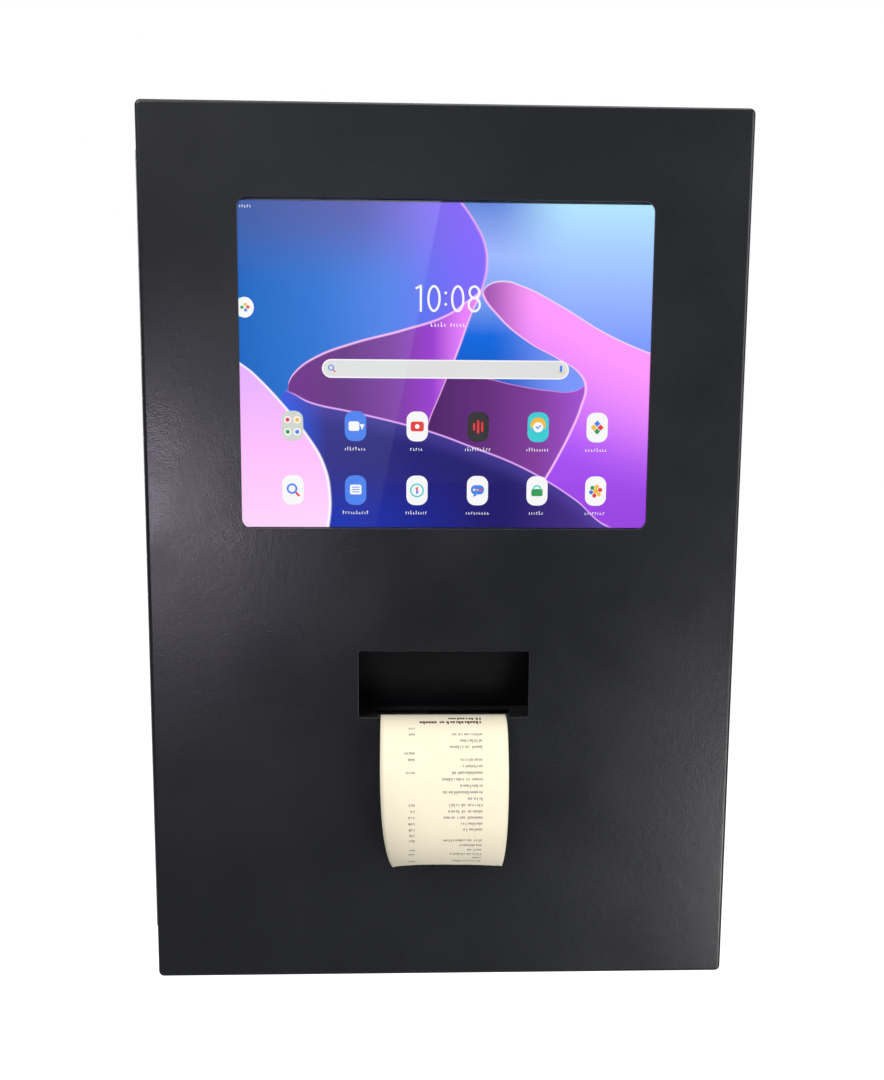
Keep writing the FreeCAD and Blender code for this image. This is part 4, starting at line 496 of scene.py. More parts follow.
def rolled_paper(name, colour):
    """The roll: its flat ends show the wound layers as fine rings."""
    material, tree, shader = start_material(name)
    low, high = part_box("paper_roll")
    mapping = add(tree, "ShaderNodeMapping")
    mapping.inputs["Location"].default_value = (0, -(low[1] + high[1]) / 2, -(low[2] + high[2]) / 2)
    tree.links.new(object_coordinates(tree), mapping.inputs["Vector"])
    parts = add(tree, "ShaderNodeSeparateXYZ")
    tree.links.new(mapping.outputs["Vector"], parts.inputs[0])
    squared = math_node(tree, "ADD", math_node(tree, "POWER", parts.outputs["Y"], 2.0),
                        math_node(tree, "POWER", parts.outputs["Z"], 2.0))
    radius = math_node(tree, "SQRT", squared)
    rings = math_node(tree, "SINE", math_node(tree, "MULTIPLY", radius, 14000.0))
    wobble = noise(tree, object_coordinates(tree), 160.0, 3.0)
    layer = math_node(tree, "MULTIPLY", math_node(tree, "ADD", rings, 1.0), wobble)
    dark = tuple(value * 0.78 for value in colour)
    tone = mix_colour(tree, layer, dark, colour)
    tree.links.new(tone, shader.inputs["Base Color"])
    shader.inputs["Roughness"].default_value = 0.7
    bump(tree, shader, layer, 0.2, 0.0001)
    return material


def cardboard(name):
    material, tree, shader = start_material(name)
    fibre = noise(tree, object_coordinates(tree, (300.0, 1500.0, 1500.0)), 1.0, 4.0, 0.7)
    tone = ramp(tree, fibre, [(0.3, (0.30, 0.21, 0.13)), (0.7, (0.46, 0.35, 0.23))])
    tree.links.new(tone, shader.inputs["Base Color"])
    shader.inputs["Roughness"].default_value = 0.9
    bump(tree, shader, fibre, 0.3, 0.0001)
    return material


def circuit_board(name):
    """Green solder mask with paler copper lines under it."""
    material, tree, shader = start_material(name)
    at = object_coordinates(tree)
    cells = add(tree, "ShaderNodeTexVoronoi", feature="DISTANCE_TO_EDGE")
    cells.inputs["Scale"].default_value = 210.0
    cells.inputs["Randomness"].default_value = 0.35
    tree.links.new(at, cells.inputs["Vector"])
    line = map_range(tree, cells.outputs["Distance"], 0.04, 0.07, 1.0, 0.0)
    tone = mix_colour(tree, line, (0.012, 0.085, 0.040), (0.030, 0.170, 0.075))
    wear = place_group(tree, EDGE_WEAR, Width=0.0004, Amount=0.6)
    tone = mix_colour(tree, wear.outputs["Mask"], tone, (0.45, 0.42, 0.25))
    tree.links.new(tone, shader.inputs["Base Color"])
    shader.inputs["Roughness"].default_value = 0.35
    bump(tree, shader, line, 0.2, 0.00005)
    return material


def glass(name):
    material, tree, shader = start_material(name)
    shader.inputs["Base Color"].default_value = (1, 1, 1, 1)
    smear = noise(tree, object_coordinates(tree), 18.0, 4.0, 0.7)
    gloss = map_range(tree, smear, 0.45, 0.75, 0.015, 0.05)
    tree.links.new(gloss, shader.inputs["Roughness"])
    shader.inputs["Transmission Weight"].default_value = 1.0
    shader.inputs["IOR"].default_value = 1.45
    return material


def lit(name, colour, strength=1.0):
    """A flat self-lit colour on the display, very slightly uneven as a backlight is."""
    material, tree, shader = start_material(name)
    cloud = noise(tree, object_coordinates(tree), 12.0, 2.0)
    dark = tuple(value * 0.94 for value in colour)
    tone = mix_colour(tree, cloud, dark, colour)
    tree.links.new(tone, shader.inputs["Emission Color"])
    shader.inputs["Emission Strength"].default_value = strength
    shader.inputs["Base Color"].default_value = (0.02, 0.02, 0.02, 1)
    shader.inputs["Roughness"].default_value = 0.4
    return material


# ------------------------------------------------------------------ wallpaper
SCREEN_LOW, SCREEN_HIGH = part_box("tablet_display")
SCREEN_W = SCREEN_HIGH[0] - SCREEN_LOW[0]
SCREEN_H = SCREEN_HIGH[2] - SCREEN_LOW[2]


def curve_of(tree, value, points):
    """A smooth function through a few points, both ways 0 to 1."""
    node = add(tree, "ShaderNodeFloatCurve")
    curve = node.mapping.curves[0]
    curve.points[0].location = points[0]
    curve.points[-1].location = points[-1]
    for point in points[1:-1]:
        curve.points.new(*point)
    node.mapping.update()
    tree.links.new(value, node.inputs["Value"])
    return node.outputs["Value"]


def wallpaper(name):
    """Self-lit flowing ribbons, each bounded by smooth curves and rimmed with light."""
    material, tree, shader = start_material(name)
    mapping = add(tree, "ShaderNodeMapping", vector_type="POINT")
    mapping.inputs["Location"].default_value = (-SCREEN_LOW[0] / SCREEN_W, 0, -SCREEN_LOW[2] / SCREEN_H)
    mapping.inputs["Scale"].default_value = (1 / SCREEN_W, 1, 1 / SCREEN_H)
    tree.links.new(object_coordinates(tree), mapping.inputs["Vector"])
    parts = add(tree, "ShaderNodeSeparateXYZ")
    tree.links.new(mapping.outputs["Vector"], parts.inputs[0])
    across = parts.outputs["X"]
    up = parts.outputs["Z"]

    def below(points):
        """How far a point is below the curve: positive inside."""
        return math_node(tree, "SUBTRACT", curve_of(tree, across, points), up)

    def left_of(points):
        return math_node(tree, "SUBTRACT", curve_of(tree, up, points), across)

    def inside(distance):
        return map_range(tree, distance, -0.0015, 0.0015, 0.0, 1.0)

    def rim(distance, width):
        size = math_node(tree, "ABSOLUTE", distance)
        return map_range(tree, size, 0.0, width, 1.0, 0.0, True)

    def fade(distance, reach, near, far):
        return mix_colour(tree, map_range(tree, distance, 0.0, reach, 0.0, 1.0, True), near, far)

    def both(first, second):
        return math_node(tree, "MULTIPLY", first, second)

    # sky: blue on the left
    sky = ramp(tree, across, [(0.0, (0.010, 0.130, 0.52)), (0.20, (0.018, 0.165, 0.63)),
                              (0.36, (0.060, 0.200, 0.76)), (0.56, (0.120, 0.140, 0.92))])
    top = ramp(tree, across, [(0.0, (0.050, 0.110, 0.37)), (0.30, (0.085, 0.100, 0.42)),
                              (0.45, (0.180, 0.140, 0.75)), (0.57, (0.230, 0.135, 0.85))])
    colour = mix_colour(tree, map_range(tree, up, 0.72, 1.0, 0.0, 1.0, True), sky, top)

    # violet lobe that leans in from the top
    lobe = left_of([(0.0, 0.30), (0.60, 0.50), (0.70, 0.568), (0.76, 0.585), (0.82, 0.592), (0.88, 0.586),
                    (0.94, 0.564), (1.0, 0.532)])
    lobe_low = math_node(tree, "SUBTRACT", 0.0, below([(0.0, 0.30), (0.35, 0.52), (0.60, 0.73), (1.0, 1.0)]))
    lobe_mask = both(inside(lobe), inside(lobe_low))
    right_sky = ramp(tree, up, [(0.40, (0.001, 0.080, 0.45)), (0.60, (0.001, 0.136, 0.72)),
                                (0.72, (0.200, 0.350, 0.90)), (0.84, (0.337, 0.480, 0.98)),
                                (1.0, (0.130, 0.240, 0.70))])
    right_fade = map_range(tree, across, 0.60, 0.80, 0.0, 1.0, True)
    pale = ramp(tree, up, [(0.55, (0.190, 0.300, 0.95)), (0.72, (0.300, 0.450, 1.0)),
                           (0.85, (0.370, 0.590, 1.0)), (1.0, (0.450, 0.780, 1.0))])
    right_sky = mix_colour(tree, right_fade, right_sky, pale)
    colour = mix_colour(tree, inside(math_node(tree, "SUBTRACT", 0.0, lobe)), colour, right_sky)
    lobe_rim = both(rim(lobe, 0.006), map_range(tree, up, 0.66, 0.76, 0.0, 1.0))
    colour = mix_colour(tree, lobe_rim, colour, (0.95, 0.45, 0.95))
    violet = both(map_range(tree, across, 0.38, 0.60, 0.0, 0.75, True), lobe_mask)
    colour = mix_colour(tree, violet, colour, (0.24, 0.14, 0.98))

    # magenta band that rises from the lower left to the middle
    band_top = below([(0.0, 0.20), (0.125, 0.34), (0.133, 0.45), (0.155, 0.492), (0.20, 0.532),
                      (0.28, 0.572), (0.40, 0.615), (0.50, 0.66), (0.56, 0.715), (0.62, 0.77), (1.0, 0.60)])
    band_right = left_of([(0.0, 0.40), (0.335, 0.462), (0.42, 0.488), (0.50, 0.512), (0.57, 0.532),
                          (0.66, 0.556), (0.735, 0.580), (1.0, 0.62)])
    band_mask = both(inside(band_top), inside(band_right))
    band = ramp(tree, across, [(0.13, (0.16, 0.030, 0.25)), (0.26, (0.13, 0.028, 0.22)),
                               (0.38, (0.20, 0.045, 0.36)), (0.47, (0.32, 0.050, 0.62)),
                               (0.54, (0.80, 0.220, 0.98))])
    colour = mix_colour(tree, band_mask, colour, band)
    band_rim = both(rim(band_top, 0.006), map_range(tree, across, 0.60, 0.56, 0.0, 1.0))
    colour = mix_colour(tree, band_rim, colour, (0.95, 0.52, 0.90))
    colour = mix_colour(tree, both(rim(band_right, 0.004), inside(band_top)), colour, (0.98, 0.50, 0.95))

    # dark plum hollow behind the middle
    plum_top = below([(0.0, 0.50), (0.50, 0.490), (0.60, 0.468), (0.66, 0.450), (0.74, 0.433), (0.80, 0.431),
                      (0.825, 0.448), (0.84, 0.48), (1.0, 0.50)])
    plum_mask = both(inside(plum_top), inside(math_node(tree, "SUBTRACT", 0.0, band_right)))
    plum = ramp(tree, across, [(0.46, (0.075, 0.014, 0.13)), (0.60, (0.125, 0.025, 0.20)),
                               (0.72, (0.220, 0.045, 0.33)), (0.82, (0.350, 0.080, 0.62))])
    colour = mix_colour(tree, plum_mask, colour, plum)
    plum_rim = both(rim(plum_top, 0.004), plum_mask)
    colour = mix_colour(tree, plum_rim, colour, (0.70, 0.30, 0.80))

    # large pink petal down the right side
    petal_top = below([(0.0, 0.60), (0.57, 0.70), (0.595, 0.752), (0.63, 0.766), (0.68, 0.750),
                       (0.76, 0.698), (0.88, 0.606), (1.0, 0.540)])
    petal_left = math_node(tree, "SUBTRACT", 0.0, left_of([
        (0.0, 0.66), (0.165, 0.742), (0.22, 0.765), (0.30, 0.795), (0.38, 0.819), (0.45, 0.829),
        (0.49, 0.812), (0.53, 0.765), (0.58, 0.695), (0.66, 0.622), (0.74, 0.582), (1.0, 0.62)]))
    petal_mask = both(inside(petal_top), inside(petal_left))
    petal = fade(petal_top, 0.50, (1.0, 0.32, 0.98), (0.40, 0.085, 0.95))
    petal_dark = map_range(tree, across, 0.72, 0.58, 0.0, 0.85, True)
    petal = mix_colour(tree, petal_dark, petal, (0.23, 0.05, 0.32))
    violet_low = map_range(tree, up, 0.35, 0.0, 0.0, 0.7, True)
    petal = mix_colour(tree, violet_low, petal, (0.28, 0.050, 0.66))
    colour = mix_colour(tree, petal_mask, colour, petal)
    colour = mix_colour(tree, both(rim(petal_left, 0.005), inside(petal_top)), colour, (1.0, 0.55, 0.98))
    colour = mix_colour(tree, both(rim(petal_top, 0.004), inside(petal_left)), colour, (0.85, 0.70, 1.0))

    # indigo wave along the bottom
    wave_top = below([(0.0, 0.0), (0.105, 0.30), (0.125, 0.425), (0.135, 0.422), (0.18, 0.392),
                      (0.28, 0.362), (0.40, 0.325), (0.48, 0.295), (0.56, 0.256), (0.66, 0.205),
                      (0.74, 0.150), (0.81, 0.090), (0.90, 0.0), (1.0, 0.0)])
    wave_right = map_range(tree, across, 0.885, 0.90, 1.0, 0.0)
    wave_mask = both(inside(wave_top), wave_right)
    wave = ramp(tree, across, [(0.13, (0.020, 0.110, 0.80)), (0.22, (0.030, 0.028, 0.24)),
                               (0.45, (0.016, 0.013, 0.17)), (0.65, (0.016, 0.011, 0.14)),
                               (0.90, (0.080, 0.035, 0.27))])
    low_glow = map_range(tree, up, 0.22, 0.0, 0.0, 0.7, True)
    wave = mix_colour(tree, both(low_glow, map_range(tree, across, 0.60, 0.25, 0.0, 1.0)), wave,
                      (0.004, 0.035, 0.50))
    wave = mix_colour(tree, map_range(tree, wave_top, 0.07, 0.0, 0.0, 0.4, True), wave, (0.10, 0.07, 0.45))
    colour = mix_colour(tree, wave_mask, colour, wave)
    wave_rim = both(rim(wave_top, 0.005), both(wave_right, map_range(tree, across, 0.12, 0.17, 0.0, 1.0)))
    colour = mix_colour(tree, wave_rim, colour, (0.80, 0.42, 0.98))

    # pale pink lobe at the lower left
    cheek = left_of([(0.0, 0.222), (0.10, 0.227), (0.20, 0.212), (0.30, 0.168), (0.40, 0.108),
                     (0.48, 0.050), (0.54, 0.0), (0.60, -0.05), (1.0, -0.05)])
    cheek_tone = ramp(tree, up, [(0.0, (0.97, 0.66, 0.95)), (0.25, (0.98, 0.52, 0.97)),
                                 (0.46, (0.80, 0.44, 0.98))])
    colour = mix_colour(tree, inside(cheek), colour, cheek_tone)
    colour = mix_colour(tree, rim(cheek, 0.006), colour, (1.0, 0.95, 1.0))

    tree.links.new(colour, shader.inputs["Emission Color"])
    shader.inputs["Emission Strength"].default_value = 1.0
    shader.inputs["Base Color"].default_value = (0.01, 0.01, 0.01, 1)
    shader.inputs["Roughness"].default_value = 0.35
    return material


# ------------------------------------------------------------------ mesh helpers
def make_piece(name, bm, material, body, smooth_deg=None):
    mesh = bpy.data.meshes.new(name)
    bm.normal_update()
    bm.to_mesh(mesh)
    bm.free()
    if smooth_deg is not None:
        mesh.polygons.foreach_set("use_smooth", [True] * len(mesh.polygons))
        mesh.set_sharp_from_angle(angle=math.radians(smooth_deg))
    piece = bpy.data.objects.new(name, mesh)
    scene.collection.objects.link(piece)
    for each in material if isinstance(material, list) else [material]:
        mesh.materials.append(each)
    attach(piece, body)
    return piece


def facing_front(x, y, z, width=1.0, height=1.0, turn=0.0):
    """Lays a flat shape drawn in X and Y on the plane at y, face towards -Y."""
    return (Matrix.Translation((x, y, z)) @ Matrix.Rotation(-math.radians(turn), 4, "Y")
            @ Matrix.Diagonal((width, 1, height, 1)) @ Matrix.Rotation(math.pi / 2, 4, "X"))


def paint(bm, verts, slot):
    for face in {face for vert in verts for face in vert.link_faces}:
        face.material_index = slot


def bar(bm, x, z, width, height, y, slot, radius=None, turn=0.0):
    """A rectangle with rounded corners."""
    radius = min(width, height) * 0.25 if radius is None else radius
    made = bmesh.ops.create_grid(bm, x_segments=1, y_segments=1, size=0.5,
                                 matrix=facing_front(x, y, z, width, height, turn))
    face = made["verts"][0].link_faces[0]
    face.material_index = slot
    if radius > 0:
        bmesh.ops.bevel(bm, geom=list(face.verts), offset=radius, offset_type="OFFSET", affect="VERTICES",
                        segments=6 if radius > MM else 2, profile=0.5, material=-1)


def disc(bm, x, z, radius, y, slot, high=None):
    made = bmesh.ops.create_circle(bm, cap_ends=True, segments=24, radius=1.0,
                                   matrix=facing_front(x, y, z, radius, high or radius))
    paint(bm, made["verts"], slot)


def wedge(bm, x, z, width, height, y, slot, turn=0.0, sides=3):
    """A small triangle or diamond whose first corner points along turn."""
    made = bmesh.ops.create_circle(bm, cap_ends=True, segments=sides, radius=1.0,
                                   matrix=facing_front(x, y, z, width, height, turn))
    paint(bm, made["verts"], slot)


def ring(bm, x, z, radius_x, radius_z, width, y, slot=0):
    """A round or oval band."""
    made = bmesh.ops.create_circle(bm, cap_ends=True, segments=28, radius=1.0,
                                   matrix=facing_front(x, y, z, radius_x, radius_z))
    paint(bm, made["verts"], slot)
    hole = made["verts"][0].link_faces[0]
    bmesh.ops.inset_individual(bm, faces=[hole], thickness=width, use_even_offset=True)
    bmesh.ops.delete(bm, geom=[hole], context="FACES_ONLY")


def arc(bm, x, z, radius, width, y, slot, start, sweep):
    """Part of a round band, swept from start degrees."""
    centre = Vector((x, y, z))
    aim = Vector((math.cos(math.radians(start)), 0, math.sin(math.radians(start))))
    there = set(bm.faces)
    ends = [bm.verts.new(centre + aim * reach) for reach in (radius - width, radius)]
    edge = bm.edges.new(ends)
    bmesh.ops.spin(bm, geom=ends + [edge], cent=centre, axis=(0, 1, 0), dvec=(0, 0, 0),
                   angle=-math.radians(sweep), steps=14)
    for face in set(bm.faces) - there:
        face.material_index = slot
        face.normal_update()
        if face.normal.y > 0:
            face.normal_flip()


# ------------------------------------------------------------------ screen contents
SCREEN_Y = SCREEN_LOW[1]
LAYER = 0.00006


def screen_at(across, up):
    """A place on the display from its lower left corner, as shares of its width and height."""
    return SCREEN_LOW[0] + across * SCREEN_W, SCREEN_LOW[2] + up * SCREEN_H


def word_bars(bm, x, z, width, height, y, slot, seed):
    """A made-up word: short upright strokes with small gaps, no letters."""
    draw = random.Random(seed)
    left = x - width / 2
    while left < x + width / 2 - height * 0.2:
        letter = height * draw.uniform(0.42, 0.62)
        tall = draw.choice((0.62, 0.62, 0.70, 1.0))
        stroke = height * 0.16
        bar(bm, left + stroke / 2, z - height * (1 - tall) / 2, stroke, height * tall, y, slot, stroke * 0.4)
        if letter > height * 0.48:
            rise = height * (0.14 if draw.random() < 0.5 else -0.36)
            bar(bm, left + letter * 0.45, z + rise, letter * 0.5, stroke, y, slot, stroke * 0.4)
        left += letter + stroke


WHITE, BLUE, RED, GREEN, AMBER, BLACK, GREY, TEAL, BAR_GREY = range(9)


def screen_colours():
    return [
        lit("screen_white", (0.95, 0.95, 0.95)), lit("screen_blue", (0.04, 0.20, 0.85)),
        lit("screen_red", (0.80, 0.02, 0.02)), lit("screen_green", (0.01, 0.32, 0.07)),
        lit("screen_amber", (0.95, 0.50, 0.02)), lit("screen_black", (0.004, 0.004, 0.005)),
        lit("screen_grey", (0.62, 0.66, 0.60)), lit("screen_teal", (0.02, 0.60, 0.65)),
        lit("screen_bar_grey", (0.74, 0.75, 0.74)),
    ]


def glyph_folder(bm, x, z, s, y):
    for sx, sz, slot in ((-1, 1, RED), (1, 1, AMBER), (-1, -1, GREEN), (1, -1, BLUE)):
        disc(bm, x + sx * s * 0.22, z + sz * s * 0.28, s * 0.17, y, WHITE)
        disc(bm, x + sx * s * 0.22, z + sz * s * 0.28, s * 0.10, y - LAYER, slot)


def glyph_camera(bm, x, z, s, y):
    bar(bm, x - s * 0.07, z, s * 0.50, s * 0.44, y, WHITE, s * 0.09)
    wedge(bm, x + s * 0.31, z, s * 0.13, s * 0.18, y, WHITE, 180)


def glyph_note(bm, x, z, s, y):
    bar(bm, x, z, s * 0.62, s * 0.46, y, RED, s * 0.12)
    disc(bm, x, z, s * 0.11, y - LAYER, WHITE)


def glyph_levels(bm, x, z, s, y):
    for step in range(3):
        bar(bm, x + (step - 1) * s * 0.19, z, s * 0.10, s * (0.34, 0.62, 0.46)[step], y, RED)


def glyph_tick(bm, x, z, s, y):
    disc(bm, x, z + s * 0.10, s * 0.36, y, AMBER)
    disc(bm, x, z - s * 0.22, s * 0.34, y - LAYER, TEAL)
    disc(bm, x, z, s * 0.24, y - 2 * LAYER, WHITE)
    bar(bm, x - s * 0.06, z - s * 0.02, s * 0.15, s * 0.06, y - 3 * LAYER, BLUE, turn=-45)
    bar(bm, x + s * 0.05, z + s * 0.01, s * 0.22, s * 0.06, y - 3 * LAYER, BLUE, turn=45)


def glyph_kite(bm, x, z, s, y):
    for dx, dz, slot in ((0, 0.18, BLUE), (0.16, 0, RED), (0, -0.18, GREEN), (-0.16, 0, AMBER)):
        wedge(bm, x + s * dx, z + s * dz, s * 0.15, s * 0.15, y, slot, sides=4)


def glyph_lens(bm, x, z, s, y):
    ring(bm, x - s * 0.05, z + s * 0.06, s * 0.25, s * 0.25, s * 0.09, y, BLUE)
    bar(bm, x + s * 0.21, z - s * 0.20, s * 0.26, s * 0.10, y, RED, turn=-45)


def glyph_letter(bm, x, z, s, y):
    bar(bm, x, z + s * 0.03, s * 0.54, s * 0.46, y, WHITE, s * 0.07)
    for row in range(3):
        bar(bm, x, z + s * (0.14 - 0.11 * row), s * 0.36, s * 0.04, y - LAYER, BLUE)


def glyph_compass(bm, x, z, s, y):
    ring(bm, x, z, s * 0.33, s * 0.33, s * 0.07, y, TEAL)
    wedge(bm, x, z + s * 0.08, s * 0.14, s * 0.08, y, RED, 90)
    wedge(bm, x, z - s * 0.08, s * 0.14, s * 0.08, y, BLUE, -90)


def glyph_speech(bm, x, z, s, y):
    bar(bm, x, z + s * 0.04, s * 0.62, s * 0.44, y, BLUE, s * 0.20)
    wedge(bm, x - s * 0.13, z - s * 0.20, s * 0.14, s * 0.10, y, BLUE, -100)
    for dx, slot in ((-0.16, WHITE), (0.0, AMBER), (0.16, RED)):
        disc(bm, x + dx * s, z + s * 0.04, s * 0.055, y - LAYER, slot)


def glyph_basket(bm, x, z, s, y):
    bar(bm, x, z - s * 0.08, s * 0.54, s * 0.34, y, GREEN, s * 0.08)
    arc(bm, x, z + s * 0.08, s * 0.20, s * 0.07, y, TEAL, 0, 180)


def glyph_sun(bm, x, z, s, y):
    for step, slot in enumerate((RED, AMBER, GREEN, BLUE, RED, AMBER)):
        turn = math.radians(60 * step + 15)
        disc(bm, x + s * 0.22 * math.cos(turn), z + s * 0.22 * math.sin(turn), s * 0.10, y, slot)
    disc(bm, x, z, s * 0.12, y - LAYER, AMBER)


GLYPHS = (glyph_folder, glyph_camera, glyph_note, glyph_levels, glyph_tick, glyph_kite, glyph_lens,
          glyph_letter, glyph_compass, glyph_speech, glyph_basket, glyph_sun)
TILE_COLUMNS = (0.1410, 0.2885, 0.4335, 0.5770, 0.7190, 0.8590)
TILE_ROWS = (0.318, 0.117)
TILE_BACKS = ((GREY, BLUE, WHITE, BLACK, TEAL, WHITE),
              (WHITE, BLUE, WHITE, WHITE, WHITE, WHITE))


def make_screen_contents():
    y = SCREEN_Y - LAYER
    bm = bmesh.new()
    tile_w = 13.2 * MM
    tile_h = 18.4 * MM
    for row, up in enumerate(TILE_ROWS):
        for column, across in enumerate(TILE_COLUMNS):
            x, z = screen_at(across, up)
            bar(bm, x, z, tile_w, tile_h, y, TILE_BACKS[row][column], 5.2 * MM)
            GLYPHS[row * 6 + column](bm, x, z, tile_w, y - LAYER)
            if (row, column) not in ((0, 0), (1, 0)):
                width = (9.5, 13.0, 8.5, 16.0, 14.0, 14.0)[(column + row * 2) % 6] * MM
                word_bars(bm, x, z - tile_h / 2 - 4.6 * MM, width, 2.4 * MM, y, WHITE, row * 10 + column)
    make_piece("screen_tiles", bm, SCREEN_COLOURS, "cabinet")

    bm = bmesh.new()
    x, z = screen_at(0.5, 0.496)
    bar_w = 152 * MM
    bar(bm, x, z, bar_w, 11.4 * MM, y, WHITE, 5.69 * MM)
    bar(bm, x, z, bar_w - 1.6 * MM, 9.8 * MM, y - LAYER, BAR_GREY, 4.89 * MM)
    glyph_lens(bm, x - bar_w / 2 + 6 * MM, z, 7.5 * MM, y - 2 * LAYER)
    bar(bm, x + bar_w / 2 - 5 * MM, z + 0.8 * MM, 1.5 * MM, 4.2 * MM, y - 2 * LAYER, BLUE, 0.7 * MM)
    arc(bm, x + bar_w / 2 - 5 * MM, z + 0.2 * MM, 2.4 * MM, 0.5 * MM, y - 2 * LAYER, AMBER, 205, 130)
    make_piece("search_bar", bm, SCREEN_COLOURS, "cabinet")

    bm = bmesh.new()
    x, z = screen_at(0.4985, 0.712)
    stroke = 1.35 * MM
    tall = 16.2 * MM
    wide = 8.2 * MM
    bar(bm, x - 15.2 * MM, z, stroke, tall, y, WHITE, stroke * 0.3)
    bar(bm, x - 16.9 * MM, z + tall * 0.41, 3.4 * MM, stroke * 0.9, y, WHITE, 0.0, 28)
    for dx in (-7.2, 7.3):
        ring(bm, x + dx * MM, z, wide / 2, tall / 2, stroke, y, WHITE)
    for dz in (-3.4, 3.4):
        disc(bm, x, z + dz * MM, 0.85 * MM, y, WHITE)
    ring(bm, x + 17.4 * MM, z + tall * 0.245, wide * 0.44, tall * 0.255, stroke, y, WHITE)
    ring(bm, x + 17.4 * MM, z - tall * 0.215, wide * 0.50, tall * 0.285, stroke, y, WHITE)
    word_bars(bm, x - 4 * MM, z - 15.4 * MM, 10 * MM, 3.0 * MM, y, WHITE, 70)
    word_bars(bm, x + 8 * MM, z - 15.4 * MM, 10 * MM, 3.0 * MM, y, WHITE, 71)
    x, z = screen_at(0.040, 0.984)
    word_bars(bm, x, z, 7.5 * MM, 2.3 * MM, y, WHITE, 72)
    x, z = screen_at(0.034, 0.680)
    bar(bm, x - 4 * MM, z, 8 * MM, 11.6 * MM, y, TEAL, 0.8 * MM)
    disc(bm, x, z, 5.6 * MM, y - LAYER, WHITE, 6.2 * MM)
    for dx, dz, slot in ((-1.6, 0, GREEN), (0.4, 1.7, AMBER), (0.6, -1.6, BLUE),
                         (2.0, 0.2, RED)):
        disc(bm, x + dx * MM, z + dz * MM, 1.0 * MM, y - 2 * LAYER, slot)
    make_piece("clock_digits", bm, SCREEN_COLOURS, "cabinet")


# ------------------------------------------------------------------ receipt
PANEL_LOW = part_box("front_panel")[0]
RECEIPT_LOW, RECEIPT_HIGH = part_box("receipt")
PAPER_W = RECEIPT_HIGH[0] - RECEIPT_LOW[0]
APEX_Y = PANEL_LOW[1] + 2.0 * MM
APEX_Z = RECEIPT_HIGH[2] - 0.125 * MM
RISE_TURN = 38.0
SWING_R, SWING_TURN = 20.0 * MM, 98.0
DROP_R, DROP_TURN = 95.0 * MM, 30.0
CURL_R, CURL_TURN = 50.0 * MM, 46.0
STRETCHES = ((SWING_R, SWING_TURN), (DROP_R, DROP_TURN), (CURL_R, CURL_TURN))
RECEIPT_LENGTH = sum(radius * math.radians(turn) for radius, turn in STRETCHES)
SILL_ALONG = SWING_R * math.radians(RISE_TURN)
LEFT_CURL = 0.80
RIGHT_CURL = 0.42
SAG_SLOPE = math.radians(30)


def receipt_middle(along):
    """A point on the middle line of the receipt, and the direction its face looks in."""
    heading = math.radians(180.0 - RISE_TURN)
    y = APEX_Y + SWING_R * math.sin(math.radians(RISE_TURN))
    z = APEX_Z - SWING_R * (1 - math.cos(math.radians(RISE_TURN)))
    left = along
    for radius, turn in STRETCHES:
        part = max(0.0, min(left, radius * math.radians(turn)))
        after = heading + part / radius
        y += radius * (math.sin(after) - math.sin(heading))
        z -= radius * (math.cos(after) - math.cos(heading))
        heading = after
        left -= part
    return y, z, Vector((0, math.sin(heading), -math.cos(heading)))


def receipt_point(across, along, lift=0.0):
    """across runs from -1 at the left edge to 1; the lower corners curl back and droop."""
    y, z, outward = receipt_middle(along)
    share = max(0.0, (along - 45 * MM) / (RECEIPT_LENGTH - 45 * MM))
    curl = (LEFT_CURL if across < 0 else RIGHT_CURL) * share ** 1.3
    half = PAPER_W / 2
    bend = curl * abs(across) ** 1.5
    x = across * half * (1 - 0.30 * bend * bend)
    back = half * abs(across) * bend * 0.42
    drift = Vector((0, math.cos(SAG_SLOPE), -math.sin(SAG_SLOPE)))
    wave = 0.25 * MM * math.sin(along * 95 + across * 2.2) * share
    return Vector((x, y, z)) + drift * back + outward * (lift + wave)


def make_receipt():
    bm = bmesh.new()
    bmesh.ops.create_grid(bm, x_segments=28, y_segments=120, size=1.0)
    rough = random.Random(5)
    for vert in bm.verts:
        along = (vert.co.y + 1) / 2 * RECEIPT_LENGTH
        if vert.co.y > 0.999:
            along -= rough.uniform(0.0, 0.35) * MM
        vert.co = receipt_point(vert.co.x, along)
    bmesh.ops.recalc_face_normals(bm, faces=bm.faces)
    piece = make_piece("receipt_paper", bm, PAPER, "door", 60)
    thick = piece.modifiers.new("thickness", "SOLIDIFY")
    thick.thickness = 0.09 * MM
    thick.offset = 0
    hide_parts("receipt")


INK_LIFT = 0.09 * MM


def print_stroke(bm, x, along, width, height):
    """One flat stroke of ink that follows the paper; x in metres from the middle."""
    half = PAPER_W / 2
    made = bmesh.ops.create_grid(bm, x_segments=1, y_segments=1, size=0.5)
    for vert in made["verts"]:
        vert.co = receipt_point((x + vert.co.x * width) / half, along - vert.co.y * height, INK_LIFT)


def print_word(bm, start, along, letters, height, draw, weight):
    """A made-up word that runs towards -X, because the print is upside down."""
    pitch = height * 0.66
    stroke = height * weight
    at = start
    for _ in range(letters):
        tall = draw.choice((0.66, 0.66, 0.74, 1.0))
        print_stroke(bm, at - stroke / 2, along - height * (1 - tall) / 2, stroke, height * tall)
        if draw.random() < 0.8:
            level = draw.choice((-0.26, 0.0, 0.26)) * height
            print_stroke(bm, at - pitch * 0.38, along - height * 0.17 + level * 0.5, pitch * 0.5,
                         stroke * 0.8)
        if draw.random() < 0.6:
            print_stroke(bm, at - pitch * 0.62, along - height * 0.17, stroke, height * 0.6)
        at -= pitch
    return at - pitch * 0.6


